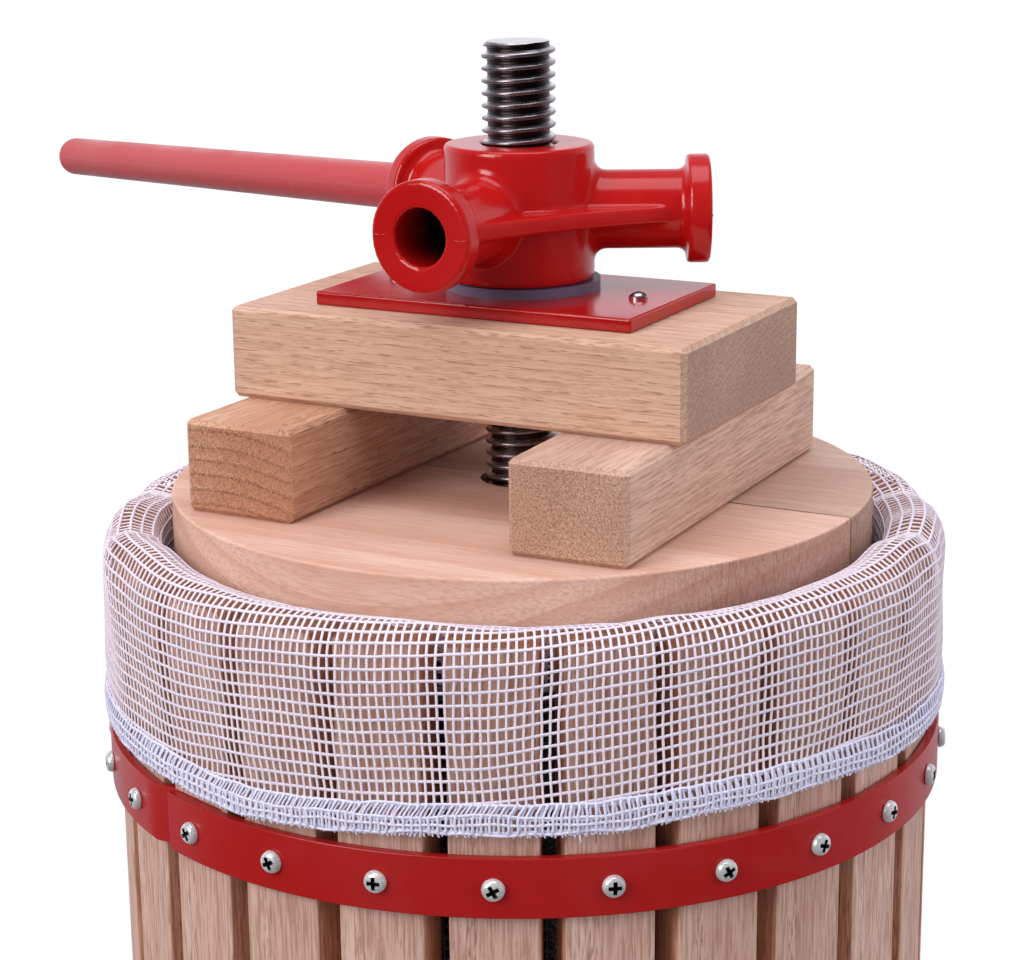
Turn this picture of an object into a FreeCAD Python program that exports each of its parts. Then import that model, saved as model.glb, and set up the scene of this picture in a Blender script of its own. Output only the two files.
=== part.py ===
import FreeCAD, Part
import math
import os

from FreeCAD import Placement, Rotation, Vector

# A hand-worked basket fruit press: a stave basket in a juice tray on three legs, with a fixed
# screw through its middle, a cast nut turned by a lever, and a wooden press head under the nut.
# Millimetres. +Z is up, the origin is on the screw's axis at floor level, and the tray's spout
# points along -Y. An azimuth is measured from the front (-Y) towards +X, in degrees.

# Basket
stave_count = 25
first_stave_azimuth = -3.9
basket_inner_radius = 128.6
stave_thickness = 16.0
stave_width = 28.6
stave_length = 340.0
stave_edge_radius = 0.8
hoop_end_distance = 77.0
hoop_height = 20.0
hoop_thickness = 3.2
hoop_fit_gap = 0.2
lap_stave = 22
lap_layer_gap = 0.15
lap_end_gap = 0.8
lap_tongue_margin = 2.7

# Hoop screws
hoop_screw_head_radius = 3.65
hoop_screw_head_height = 2.5
hoop_screw_shank_radius = 1.8
hoop_screw_length = 12.0
screw_rim_share = 0.4
screw_crown_shoulder = (0.72, 0.87)
screw_tip_share = 0.3
cross_recess_width = 0.9
cross_recess_span = 4.2
cross_recess_depth = 1.3
screw_hole_clearance = 0.1

# Straining bag
bag_thickness = 0.8
bag_wall_gap = 0.9
bag_cuff_gap = 2.3
bag_fold_rise = 7.2
bag_cuff_hoop_gap = 5.0
bag_floor_gap = 0.3
bag_floor_hole_radius = 31.0

# Screw and its thread
screw_radius = 12.7
thread_pitch = 4.2
thread_depth = 2.1
thread_crest_width = 1.0
thread_root_width = 1.5
screw_top_chamfer = 2.0
screw_above_nut = 34.6
screw_below_lower_nut = 8.0
screw_hole_gap = 0.3
fixed_nut_gap = 0.1

# Press head, from the discs upwards
disc_radius = 123.4
disc_thickness = 25.0
disc_stand_proud = 15.1
disc_seam_gap = 1.2
disc_hole_radius = 14.8
disc_edge_radius = 1.0
head_yaw = -27.4
cross_block_width = 42.0
cross_block_length = 169.0
cross_block_height = 32.0
cross_block_distance = 59.8
left_block_turn = -1.1
right_block_turn = 1.1
block_forward = 4.0
block_edge_chamfer = 1.7
top_block_length = 172.0
top_block_width = 98.0
top_block_height = 32.0
top_block_hole_radius = 18.0
head_plate_length = 120.0
head_plate_width = 71.0
head_plate_forward = 2.6
head_plate_thickness = 4.8
head_plate_hole_radius = 15.0
plate_screw_distance = 47.0
plate_screw_head_radius = 3.3
plate_screw_head_height = 2.2
plate_screw_shank_radius = 1.9
plate_screw_length = 20.0
washer_radius = 26.9
washer_hole_radius = 14.4
washer_shift = 1.0
washer_thickness = 3.3

# Press nut casting
nut_radius = 25.9
nut_height = 46.6
nut_edge_radius = 1.5
socket_count = 3
socket_azimuth = -30.0
socket_reach = 65.4
socket_tube_radius = 13.6
socket_root_radius = 4.0
socket_flange_radius = 18.7
socket_flange_thickness = 7.9
socket_rim_radius = 1.1
socket_neck_radius = 3.0
socket_bore_radius = 9.7
socket_bore_depth = 45.0
socket_mouth_chamfer = 0.3
nut_web_thickness = 5.8
nut_web_waist_radius = 34.0
nut_web_edge_radius = 1.0

# Lever bar, hanging a little low in the loose cored socket
lever_radius = 8.7
lever_azimuth = -149.0
lever_droop = 4.4
lever_engaged = 24.0
lever_reach = 420.5
lever_end_radius = 4.0
lever_chamfer = 1.0

# Juice tray
tray_radius = 176.0
tray_sheet = 2.0
tray_wall_height = 42.0
tray_corner_radius = 8.0
tray_bead_radius = 3.5
tray_floor_height = 198.0
spout_width = 54.0
spout_reach = 244.0
spout_depth = 26.0
spout_bend_radius = 14.0
spout_drop = 7.0
basket_floor_gap = 0.3

# Base spider, legs and their fasteners
leg_count = 3
first_leg_azimuth = 60.0
spider_hub_radius = 38.0
spider_hub_height = 36.0
spider_tray_gap = 0.3
spider_arm_width = 36.0
spider_arm_thickness = 12.0
spider_rib_width = 9.0
spider_arm_reach = 166.0
leg_plate_inner_radius = 112.0
leg_plate_thickness = 9.0
leg_web_thickness = 9.0
leg_flange_width = 30.0
leg_flange_thickness = 7.0
leg_bow = 9.0
leg_bow_height = 0.45
leg_flange_set = 5.5
foot_hole_radius = 5.0
foot_circle_radius = 214.0
foot_length = 56.0
foot_width = 40.0
foot_thickness = 9.0
foot_corner_radius = 18.0
foot_toe_set = 11.0
leg_bolt_radius = 4.0
leg_bolt_head_width = 13.0
leg_bolt_head_height = 5.3
leg_bolt_inset = 11.0
hex_nut_width = 41.0
hex_nut_height = 16.0
flat_washer_radius = 28.0
flat_washer_thickness = 3.0

# How far a cutting shape runs past the solid that it cuts
overrun = 1.0

# Places that follow from the sizes above
stave_outer = basket_inner_radius + stave_thickness
stave_corner = math.hypot(stave_outer, stave_width / 2 - stave_edge_radius)
hoop_inner = stave_corner + hoop_fit_gap
hoop_outer = hoop_inner + hoop_thickness
stave_pitch = 360.0 / stave_count
stave_half_angle = math.degrees(math.atan2(stave_width / 2, stave_outer))
basket_bottom = tray_floor_height + basket_floor_gap
basket_top = basket_bottom + stave_length
hoop_levels = {
    "lower": basket_bottom + hoop_end_distance,
    "upper": basket_top - hoop_end_distance,
}
disc_top = basket_top + disc_stand_proud
cross_block_top = disc_top + cross_block_height
top_block_top = cross_block_top + top_block_height
plate_top = top_block_top + head_plate_thickness
nut_bottom = plate_top + washer_thickness
nut_top = nut_bottom + nut_height
socket_level = nut_bottom + nut_height / 2
screw_top = nut_top + screw_above_nut
spider_top = tray_floor_height - tray_sheet - spider_tray_gap
spider_bottom = spider_top - spider_hub_height
arm_bottom = spider_top - spider_arm_thickness
lower_nut_bottom = spider_bottom - flat_washer_thickness - hex_nut_height
screw_bottom = lower_nut_bottom - screw_below_lower_nut
leg_plate_bottom = arm_bottom - leg_plate_thickness
leg_azimuths = [first_leg_azimuth + 360.0 * i / leg_count for i in range(leg_count)]


# Shape helpers


def polar(azimuth, radius, z):
    """The point at a radius and azimuth."""
    a = math.radians(azimuth)
    return Vector(radius * math.sin(a), -radius * math.cos(a), z)


def turned(shape, azimuth):
    """A shape that was made at the front, turned round the screw's axis to its azimuth."""
    copy = shape.copy()
    copy.rotate(Vector(0, 0, 0), Vector(0, 0, 1), azimuth)
    return copy


def cylinder(radius, height, z, centre=(0.0, 0.0)):
    """An upright cylinder that stands at z."""
    return Part.makeCylinder(radius, height, Vector(centre[0], centre[1], z))


def drill(radius, height, z, centre=(0.0, 0.0)):
    """A cylinder that runs past both ends of the height that it cuts."""
    return cylinder(radius, height + 2 * overrun, z - overrun, centre)


def box(x_range, y_range, z_range):
    """A box between pairs of coordinates."""
    size = [high - low for low, high in (x_range, y_range, z_range)]
    return Part.makeBox(*size, Vector(x_range[0], y_range[0], z_range[0]))


def path_wire(start, steps):
    """A closed wire in the XZ plane. A step is an end point, or a middle and an end of an arc."""
    edges = []
    here = start
    for step in list(steps) + [start]:
        if isinstance(step[0], tuple):
            middle, end = step
            points = [Vector(p[0], 0, p[1]) for p in (here, middle, end)]
            edges.append(Part.Arc(*points).toShape())
        else:
            end = step
            points = [Vector(p[0], 0, p[1]) for p in (here, end)]
            edges.append(Part.LineSegment(*points).toShape())
        here = end
    return Part.Wire(edges)


def turned_solid(start, steps):
    """The solid of a profile of radius and height, turned round the Z axis."""
    return Part.Face(path_wire(start, steps)).revolve(Vector(0, 0, 0), Vector(0, 0, 1), 360)


def arc_point(centre, radius, degrees):
    """A point on an arc of a profile."""
    a = math.radians(degrees)
    return (centre[0] + radius * math.cos(a), centre[1] + radius * math.sin(a))


def sector(inner, outer, z, height, start, end):
    """A ring's sector between two azimuths."""
    middle = (start + end) / 2
    outside = Part.Arc(*[polar(a, outer, z) for a in (start, middle, end)]).toShape()
    inside = Part.Arc(*[polar(a, inner, z) for a in (end, middle, start)]).toShape()
    sides = [
        Part.LineSegment(polar(end, outer, z), polar(end, inner, z)).toShape(),
        Part.LineSegment(polar(start, inner, z), polar(start, outer, z)).toShape(),
    ]
    return Part.Face(Part.Wire([outside, sides[0], inside, sides[1]])).extrude(Vector(0, 0, height))


def block(length, width, height, z, edge_chamfer):
    """A wooden block with broken edges, centred on the axis and standing at z."""
    solid = box((-length / 2, length / 2), (-width / 2, width / 2), (z, z + height))
    return solid.makeChamfer(edge_chamfer, solid.Edges)


def placed(shape, along, across, yaw):
    """A shape of the press head, moved along and across the head's long way and turned."""
    copy = shape.copy()
    copy.Placement = Placement(Vector(0, 0, 0), Rotation(Vector(0, 0, 1), head_yaw)).multiply(
        Placement(Vector(along, across, 0), Rotation(Vector(0, 0, 1), yaw))
    ).multiply(copy.Placement)
    return copy


def hex_prism(width, height, z):
    """A hexagon's prism, width across its flats."""
    corners = [polar(60.0 * i, width / math.sqrt(3), z) for i in range(6)]
    return Part.Face(Part.makePolygon(corners + corners[:1])).extrude(Vector(0, 0, height))


def cross_recess(top):
    """The cross cut in a screw's head, whose top is at that height."""
    half, wide = cross_recess_span / 2, cross_recess_width / 2
    depth = (top - cross_recess_depth, top + overrun)
    return box((-half, half), (-wide, wide), depth).fuse(box((-wide, wide), (-half, half), depth))


def pan_screw(head_radius, head_height, shank_radius, length):
    """A pan-head screw that points down, with the underside of its head at the origin."""
    rim = head_height * screw_rim_share
    shoulder = (head_radius * screw_crown_shoulder[0], head_height * screw_crown_shoulder[1])
    tip = shank_radius * screw_tip_share
    solid = turned_solid(
        (0, -length),
        [(tip, -length), (shank_radius, -length + shank_radius * 2), (shank_radius, 0),
         (head_radius, 0), (head_radius, rim), (shoulder, (0, head_height))],
    )
    return solid.cut(cross_recess(head_height))


def level_arcs(shape, least_radius=0.0):
    """The edges of a shape that are level arcs of at least that radius."""
    return [
        e for e in shape.Edges
        if isinstance(e.Curve, Part.Circle) and abs(e.Curve.Axis.z) > 0.9 and e.Curve.Radius > least_radius
    ]


def upright_edges(shape):
    """The straight edges of a shape that stand upright."""
    return [e for e in shape.Edges if isinstance(e.Curve, Part.Line) and abs(e.Curve.Direction.z) > 0.9]


def save(name, shape):
    """Writes a sub-part's solids to its STEP file."""
    solids = shape.Solids
    assert solids and shape.isValid(), name
    kept = solids[0] if len(solids) == 1 else Part.makeCompound(solids)
    kept.exportStep(os.path.join("parts", name + ".step"))


# Basket


def stave_azimuth(index):
    """The azimuth of a stave, counted from the front."""
    return first_stave_azimuth + stave_pitch * index


lap_left_edge = stave_azimuth(lap_stave) - stave_half_angle
lap_end = lap_left_edge + math.degrees(lap_end_gap / hoop_outer)
tongue_end = stave_azimuth(lap_stave) + stave_half_angle - math.degrees(lap_tongue_margin / stave_outer)
tongue_outer = hoop_inner - lap_layer_gap
tongue_inner = tongue_outer - hoop_thickness


def hoop(z):
    """A rolled band whose inner end steps in and runs on under the outer end."""
    low = z - hoop_height / 2
    joggle_start = stave_azimuth(lap_stave - 1) + stave_half_angle
    joggle_end = lap_left_edge - math.degrees(lap_end_gap / hoop_outer)
    band = sector(hoop_inner, hoop_outer, low, hoop_height, lap_end, joggle_start + 360)
    tongue = sector(tongue_inner, tongue_outer, low, hoop_height, joggle_end, tongue_end)
    corners = [
        polar(joggle_start, hoop_outer, low), polar(joggle_start, hoop_inner, low),
        polar(joggle_end, tongue_inner, low), polar(joggle_end, tongue_outer, low),
    ]
    joggle = Part.Face(Part.makePolygon(corners + corners[:1])).extrude(Vector(0, 0, hoop_height))
    ring = band.multiFuse([joggle, tongue])
    holes = [turned(screw_hole(z), stave_azimuth(i)) for i in range(stave_count)]
    return ring.cut(Part.makeCompound(holes))


def screw_hole(z):
    """The hole that a hoop screw takes through the band and into a stave, at the front."""
    radius = hoop_screw_shank_radius + screw_hole_clearance
    depth = hoop_screw_length + 2 * overrun
    return Part.makeCylinder(radius, depth, Vector(0, -hoop_outer - overrun, z), Vector(0, 1, 0))


def hoop_screws(z):
    """One screw through the hoop into each stave."""
    screw = pan_screw(
        hoop_screw_head_radius, hoop_screw_head_height, hoop_screw_shank_radius, hoop_screw_length
    )
    screw.rotate(Vector(0, 0, 0), Vector(1, 0, 0), 90)
    screw.translate(Vector(0, -hoop_outer, z))
    return Part.makeCompound([turned(screw, stave_azimuth(i)) for i in range(stave_count)])


def stave(index):
    """A basket stave, with its screw holes, and with a notch where the hoop's tongue lies."""
    half = stave_width / 2
    solid = box((-half, half), (-stave_outer, -basket_inner_radius), (basket_bottom, basket_top))
    solid = solid.makeFillet(stave_edge_radius, upright_edges(solid))
    solid = solid.cut(Part.makeCompound([screw_hole(z) for z in hoop_levels.values()]))
    solid = turned(solid, stave_azimuth(index))
    if index == lap_stave:
        room = hoop_fit_gap
        start, end = lap_left_edge - stave_half_angle, tongue_end + math.degrees(room / hoop_inner)
        for z in hoop_levels.values():
            low, height = z - hoop_height / 2 - room, hoop_height + 2 * room
            solid = solid.cut(sector(tongue_inner - room, hoop_outer, low, height, start, end))
    return solid


def straining_bag():
    """The bag as a thin shell: a floor, a lining, a fold over the rim and a cuff outside."""
    lining = basket_inner_radius - bag_wall_gap - bag_thickness
    cuff = stave_corner + bag_cuff_gap + bag_thickness
    floor = basket_bottom + bag_floor_gap
    top = basket_top + bag_fold_rise
    cuff_end = hoop_levels["upper"] + hoop_height / 2 + bag_cuff_hoop_gap
    outer_bend, inner_bend = bag_fold_rise + bag_thickness, bag_fold_rise
    inward = (lining + outer_bend, top - inner_bend)
    outward = (cuff - outer_bend, top - inner_bend)
    return turned_solid(
        (bag_floor_hole_radius, floor),
        [
            (lining + bag_thickness, floor),
            (lining + bag_thickness, inward[1]),
            (arc_point(inward, inner_bend, 135), arc_point(inward, inner_bend, 90)),
            arc_point(outward, inner_bend, 90),
            (arc_point(outward, inner_bend, 45), arc_point(outward, inner_bend, 0)),
            (cuff - bag_thickness, cuff_end),
            (cuff, cuff_end),
            (cuff, outward[1]),
            (arc_point(outward, outer_bend, 45), arc_point(outward, outer_bend, 90)),
            arc_point(inward, outer_bend, 90),
            (arc_point(inward, outer_bend, 135), arc_point(inward, outer_bend, 180)),
            (lining, floor + bag_thickness),
            (bag_floor_hole_radius, floor + bag_thickness),
        ],
    )


# Screw and what holds it


def press_screw():
    """The fixed screw. Its thread is a row of ridges at the thread's pitch."""
    root = screw_radius - thread_depth
    flank = (thread_pitch - thread_crest_width - thread_root_width) / 2
    turns = int((screw_top - screw_bottom - screw_top_chamfer - thread_pitch) / thread_pitch)
    steps = [(root, screw_bottom)]
    for turn in range(turns):
        z = screw_bottom + turn * thread_pitch + thread_root_width
        crest = z + flank + thread_crest_width
        steps += [(root, z), (screw_radius, z + flank), (screw_radius, crest), (root, crest + flank)]
    shoulder = screw_top - screw_top_chamfer - thread_depth
    steps += [(root, shoulder), (screw_radius, shoulder + thread_depth)]
    steps += [(screw_radius - screw_top_chamfer, screw_top), (0, screw_top)]
    return turned_solid((0, screw_bottom), steps)


def fixed_nut(z):
    """A hexagon nut that holds the screw, with the corners of its ends turned off."""
    body = hex_prism(hex_nut_width, hex_nut_height, z)
    corner = hex_nut_width / math.sqrt(3)
    slope = corner - hex_nut_width / 2
    top = z + hex_nut_height
    barrel = turned_solid(
        (0, z),
        [(hex_nut_width / 2, z), (corner, z + slope / 2), (corner, top - slope / 2),
         (hex_nut_width / 2, top), (0, top)],
    )
    return body.common(barrel).cut(drill(screw_radius + fixed_nut_gap, hex_nut_height, z))


def flat_washer(z):
    """A steel washer round the screw."""
    hole = drill(screw_radius + screw_hole_gap, flat_washer_thickness, z)
    return cylinder(flat_washer_radius, flat_washer_thickness, z).cut(hole)


# Press head


def half_disc(side):
    """A half-moon board, in front of the seam with side -1 and behind it with side 1."""
    bottom = disc_top - disc_thickness
    board = cylinder(disc_radius, disc_thickness, bottom).cut(drill(disc_hole_radius, disc_thickness, bottom))
    reach = disc_radius + overrun
    across = sorted((side * disc_seam_gap / 2, side * reach))
    half = board.common(box((-reach, reach), across, (bottom, disc_top)))
    return placed(half.makeFillet(disc_edge_radius, level_arcs(half, disc_hole_radius)), 0, 0, 0)


def cross_block(side, turn):
    """One of the two blocks that lie across the seam, at the side given by its sign."""
    shape = block(cross_block_width, cross_block_length, cross_block_height, disc_top, block_edge_chamfer)
    return placed(shape, side * cross_block_distance, -block_forward, turn)


def plate_screw_places():
    """The plate screws' places along and across the head, on the top block's middle line."""
    return [(-plate_screw_distance, -block_forward), (plate_screw_distance, -block_forward)]


def top_block():
    """The block that carries the plate, with the screw's hole and the plate screws' holes."""
    shape = block(top_block_length, top_block_width, top_block_height, cross_block_top, block_edge_chamfer)
    shape.translate(Vector(0, -block_forward, 0))
    holes = [drill(top_block_hole_radius, top_block_height, cross_block_top)]
    radius = plate_screw_shank_radius + screw_hole_clearance
    depth = plate_screw_length - head_plate_thickness
    holes += [drill(radius, depth, top_block_top - depth, place) for place in plate_screw_places()]
    return placed(shape.cut(Part.makeCompound(holes)), 0, 0, 0)


def head_plate():
    """The steel plate under the nut."""
    half_length, half_width = head_plate_length / 2, head_plate_width / 2
    across = (-half_width - head_plate_forward, half_width - head_plate_forward)
    shape = box((-half_length, half_length), across, (top_block_top, plate_top))
    holes = [drill(head_plate_hole_radius, head_plate_thickness, top_block_top)]
    radius = plate_screw_shank_radius + screw_hole_clearance
    holes += [drill(radius, head_plate_thickness, top_block_top, place) for place in plate_screw_places()]
    return placed(shape.cut(Part.makeCompound(holes)), 0, 0, 0)


def plate_screws():
    """The two screws that hold the plate to the top block."""
    screw = pan_screw(
        plate_screw_head_radius, plate_screw_head_height, plate_screw_shank_radius, plate_screw_length
    )
    copies = []
    for along, across in plate_screw_places():
        copy = screw.copy()
        copy.translate(Vector(along, across, plate_top))
        copies.append(copy)
    return placed(Part.makeCompound(copies), 0, 0, 0)


def nylon_washer():
    """The washer that the nut turns on, lying a little off the screw's axis in its free play."""
    centre = (washer_shift, 0.0)
    hole = drill(washer_hole_radius, washer_thickness, plate_top, centre)
    return cylinder(washer_radius, washer_thickness, plate_top, centre).cut(hole)


# Press nut and lever


def laid_out(shape, azimuth):
    """A shape that stands along Z, laid along an azimuth at the sockets' level."""
    copy = shape.copy()
    copy.rotate(Vector(0, 0, 0), Vector(1, 0, 0), 90)
    copy.translate(Vector(0, 0, socket_level))
    return turned(copy, azimuth)


def socket_arm():
    """A lever socket without its bore: a tube with a rimmed flange, standing along Z."""
    tube, flange, rim, neck = socket_tube_radius, socket_flange_radius, socket_rim_radius, socket_neck_radius
    back = socket_reach - socket_flange_thickness
    corner = (flange - rim, socket_reach - rim)
    heel = (flange - rim, back + rim)
    hollow = (tube + neck, back - neck)
    return turned_solid(
        (0, 0),
        [
            (tube, 0),
            (tube, back - neck),
            (arc_point(hollow, neck, 135), (tube + neck, back)),
            (flange - rim, back),
            (arc_point(heel, rim, -45), (flange, back + rim)),
            (flange, socket_reach - rim),
            (arc_point(corner, rim, 45), (flange - rim, socket_reach)),
            (0, socket_reach),
        ],
    )


def socket_bore():
    """The blind cored hole of a socket, with its mouth eased, standing along Z."""
    radius, chamfer = socket_bore_radius, socket_mouth_chamfer
    return turned_solid(
        (0, socket_reach - socket_bore_depth),
        [
            (radius, socket_reach - socket_bore_depth),
            (radius, socket_reach - chamfer),
            (radius + chamfer, socket_reach),
            (radius + chamfer, socket_reach + overrun),
            (0, socket_reach + overrun),
        ],
    )


def socket_azimuths():
    """The azimuths of the sockets."""
    return [socket_azimuth + 360.0 * i / socket_count for i in range(socket_count)]


def nut_web():
    """The flat web that joins the sockets, hollowed between each pair."""
    z = socket_level - nut_web_thickness / 2
    end = socket_reach - socket_flange_thickness - socket_neck_radius
    side = math.degrees(math.atan2(socket_tube_radius, end))
    edges = []
    for i, azimuth in enumerate(socket_azimuths()):
        following = azimuth + 360.0 / socket_count
        left, right = polar(azimuth - side, end, z), polar(azimuth + side, end, z)
        waist = polar((azimuth + following) / 2, nut_web_waist_radius, z)
        edges.append(Part.LineSegment(left, right).toShape())
        edges.append(Part.Arc(right, waist, polar(following - side, end, z)).toShape())
    web = Part.Face(Part.Wire(edges)).extrude(Vector(0, 0, nut_web_thickness))
    return web.makeFillet(nut_web_edge_radius, level_arcs(web))


def press_nut():
    """The cast nut: a hub with three lever sockets joined by a web."""
    hub = cylinder(nut_radius, nut_height, nut_bottom)
    hub = hub.makeFillet(nut_edge_radius, level_arcs(hub))
    casting = hub.multiFuse([laid_out(socket_arm(), azimuth) for azimuth in socket_azimuths()])
    roots = [e for e in casting.Edges if not isinstance(e.Curve, (Part.Circle, Part.Line))]
    casting = casting.makeFillet(socket_root_radius, roots).fuse(nut_web())
    bores = [laid_out(socket_bore(), azimuth) for azimuth in socket_azimuths()]
    bores.append(drill(screw_radius + screw_hole_gap, nut_height, nut_bottom))
    return casting.cut(Part.makeCompound(bores))


def lever_bar():
    """The loose lever, whose inner end lies up and outer end lies down in the socket."""
    inner = socket_reach - lever_engaged
    length = (lever_reach - inner) / math.cos(math.radians(lever_droop))
    end = lever_end_radius
    bar = turned_solid(
        (0, 0),
        [
            (lever_radius - lever_chamfer, 0),
            (lever_radius, lever_chamfer),
            (lever_radius, length - end),
            (arc_point((lever_radius - end, length - end), end, 45), (lever_radius - end, length)),
            (0, length),
        ],
    )
    mouth = lever_engaged / 2
    bar.translate(Vector(0, 0, -mouth / math.cos(math.radians(lever_droop))))
    bar.rotate(Vector(0, 0, 0), Vector(1, 0, 0), 90 + lever_droop)
    bar = turned(bar, lever_azimuth)
    socket = polar(socket_azimuth - 360.0 / socket_count, inner + mouth, socket_level)
    bar.translate(socket)
    return bar


# Juice tray


def juice_tray():
    """The pan under the basket, with a beaded rim and an open spout at the front."""
    floor, rim = tray_floor_height, tray_floor_height + tray_wall_height
    outer_bend, inner_bend = tray_corner_radius, tray_corner_radius - tray_sheet
    bend = (tray_radius - outer_bend, floor - tray_sheet + outer_bend)
    pan = turned_solid(
        (screw_radius + screw_hole_gap, floor - tray_sheet),
        [
            (bend[0], floor - tray_sheet),
            (arc_point(bend, outer_bend, -45), (tray_radius, bend[1])),
            (tray_radius, rim),
            (tray_radius - tray_sheet, rim),
            (tray_radius - tray_sheet, bend[1]),
            (arc_point(bend, inner_bend, -45), (bend[0], floor)),
            (screw_radius + screw_hole_gap, floor),
        ],
    )
    bead = Part.makeTorus(tray_radius, tray_bead_radius, Vector(0, 0, rim))
    start = math.sqrt((tray_radius - tray_sheet) ** 2 - (spout_width / 2) ** 2)
    length = spout_reach - start
    slope = math.degrees(math.atan2(spout_drop, length))
    hollow = spout_shape(tray_sheet, start - overrun, length + 2 * overrun)
    gutter = spout_shape(0, start, length).cut(hollow)
    mouth = spout_shape(tray_sheet, start - tray_sheet, tray_radius + tray_bead_radius - start)
    inside = cylinder(tray_radius - tray_sheet, tray_wall_height, floor - tray_sheet)
    gutter.rotate(Vector(0, -start, floor), Vector(1, 0, 0), slope)
    return pan.fuse(bead).cut(mouth).fuse(gutter.cut(inside)).removeSplitter()


def spout_shape(inset, start, length):
    """The filled shape of the spout, drawn in by an inset, over a length from its start."""
    half, bend = spout_width / 2 - inset, spout_bend_radius - inset
    low, high = tray_floor_height - tray_sheet + inset, tray_floor_height + spout_depth
    left, right = (-half + bend, low + bend), (half - bend, low + bend)
    wire = path_wire(
        (-half, high),
        [
            (-half, left[1]),
            (arc_point(left, bend, 225), (left[0], low)),
            (right[0], low),
            (arc_point(right, bend, -45), (half, right[1])),
            (half, high),
        ],
    )
    wire.translate(Vector(0, -start, 0))
    return Part.Face(wire).extrude(Vector(0, -length, 0))


# Base


def base_spider():
    """The casting that carries the tray and takes the screw's pull."""
    parts = [cylinder(spider_hub_radius, spider_hub_height, spider_bottom)]
    half, rib = spider_arm_width / 2, spider_rib_width / 2
    rib_end = leg_plate_inner_radius - leg_bolt_inset / 2
    for azimuth in leg_azimuths:
        arm = box((-half, half), (-spider_arm_reach, 0), (arm_bottom, spider_top))
        outline = [(0, spider_bottom), (spider_hub_radius, spider_bottom)]
        outline += [(rib_end, arm_bottom), (0, arm_bottom), (0, spider_bottom)]
        corners = [Vector(-rib, -reach, z) for reach, z in outline]
        web = Part.Face(Part.makePolygon(corners)).extrude(Vector(spider_rib_width, 0, 0))
        parts += [turned(arm, azimuth), turned(web, azimuth)]
    casting = parts[0].multiFuse(parts[1:]).removeSplitter()
    holes = [drill(screw_radius + screw_hole_gap, spider_hub_height, spider_bottom)]
    for azimuth in leg_azimuths:
        holes += [turned(leg_bolt_hole(place), azimuth) for place in leg_bolt_places()]
    return casting.cut(Part.makeCompound(holes))


def leg_bolt_places():
    """The distances of a leg's two bolts from the axis."""
    return [leg_plate_inner_radius + leg_bolt_inset, spider_arm_reach - leg_bolt_inset]


def leg_bolt_hole(distance):
    """The hole of a leg bolt, through the leg's plate and the arm."""
    height = leg_plate_thickness + spider_arm_thickness
    return drill(leg_bolt_radius + screw_hole_clearance, height, leg_plate_bottom, (0, -distance))


def leg():
    """A cast leg of T section at the front, with its top plate and its foot."""
    inner, outer = leg_plate_inner_radius, spider_arm_reach
    half = spider_arm_width / 2
    plate = box((-half, half), (-outer, -inner), (leg_plate_bottom, arm_bottom))
    foot_outer = foot_circle_radius + foot_width / 2
    foot_inner = foot_outer - foot_length
    foot = box((-foot_width / 2, foot_width / 2), (-foot_outer, -foot_inner), (0, foot_thickness))
    toes = [e for e in upright_edges(foot) if e.Vertexes[0].Point.y < -foot_circle_radius]
    foot = foot.makeFillet(foot_corner_radius, toes)
    top, low, thick = leg_plate_bottom, foot_thickness, leg_flange_thickness
    crest = (inner + outer) / 2 + leg_flange_set
    heel = (inner + outer) / 2 - leg_flange_set
    toe = foot_inner + foot_toe_set
    outside = ((crest + toe) / 2 + leg_bow, low + (top - low) * leg_bow_height)
    under = (outside[0] - thick, outside[1])
    flange = path_wire(
        (crest, top),
        [(outside, (toe, low)), (toe - thick, low), (under, (crest - thick, top))],
    )
    middle = thick / 2
    web = path_wire(
        (crest - middle, top),
        [((outside[0] - middle, outside[1]), (toe - middle, low)), (foot_inner + middle / 2, low),
         ((under[0] - thick, under[1] - thick), (heel, top))],
    )
    parts = [plate, foot]
    for wire, width in ((flange, leg_flange_width), (web, leg_web_thickness)):
        solid = Part.Face(wire).extrude(Vector(0, width, 0))
        solid.rotate(Vector(0, 0, 0), Vector(0, 0, 1), -90)
        solid.translate(Vector(-width / 2, 0, 0))
        parts.append(solid)
    casting = parts[0].multiFuse(parts[1:]).removeSplitter()
    holes = [leg_bolt_hole(place) for place in leg_bolt_places()]
    holes.append(drill(foot_hole_radius, foot_thickness, 0, (0, -foot_circle_radius)))
    return casting.cut(Part.makeCompound(holes))


def leg_bolts():
    """Hexagon bolts up through each leg's plate into its arm."""
    shank_length = leg_plate_thickness + spider_arm_thickness
    bolts = []
    for azimuth in leg_azimuths:
        for distance in leg_bolt_places():
            underside = leg_plate_bottom - leg_bolt_head_height
            head = hex_prism(leg_bolt_head_width, leg_bolt_head_height, underside)
            bolt = head.fuse(cylinder(leg_bolt_radius, shank_length, leg_plate_bottom))
            bolt.translate(Vector(0, -distance, 0))
            bolts.append(turned(bolt, azimuth))
    return Part.makeCompound(bolts)


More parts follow.
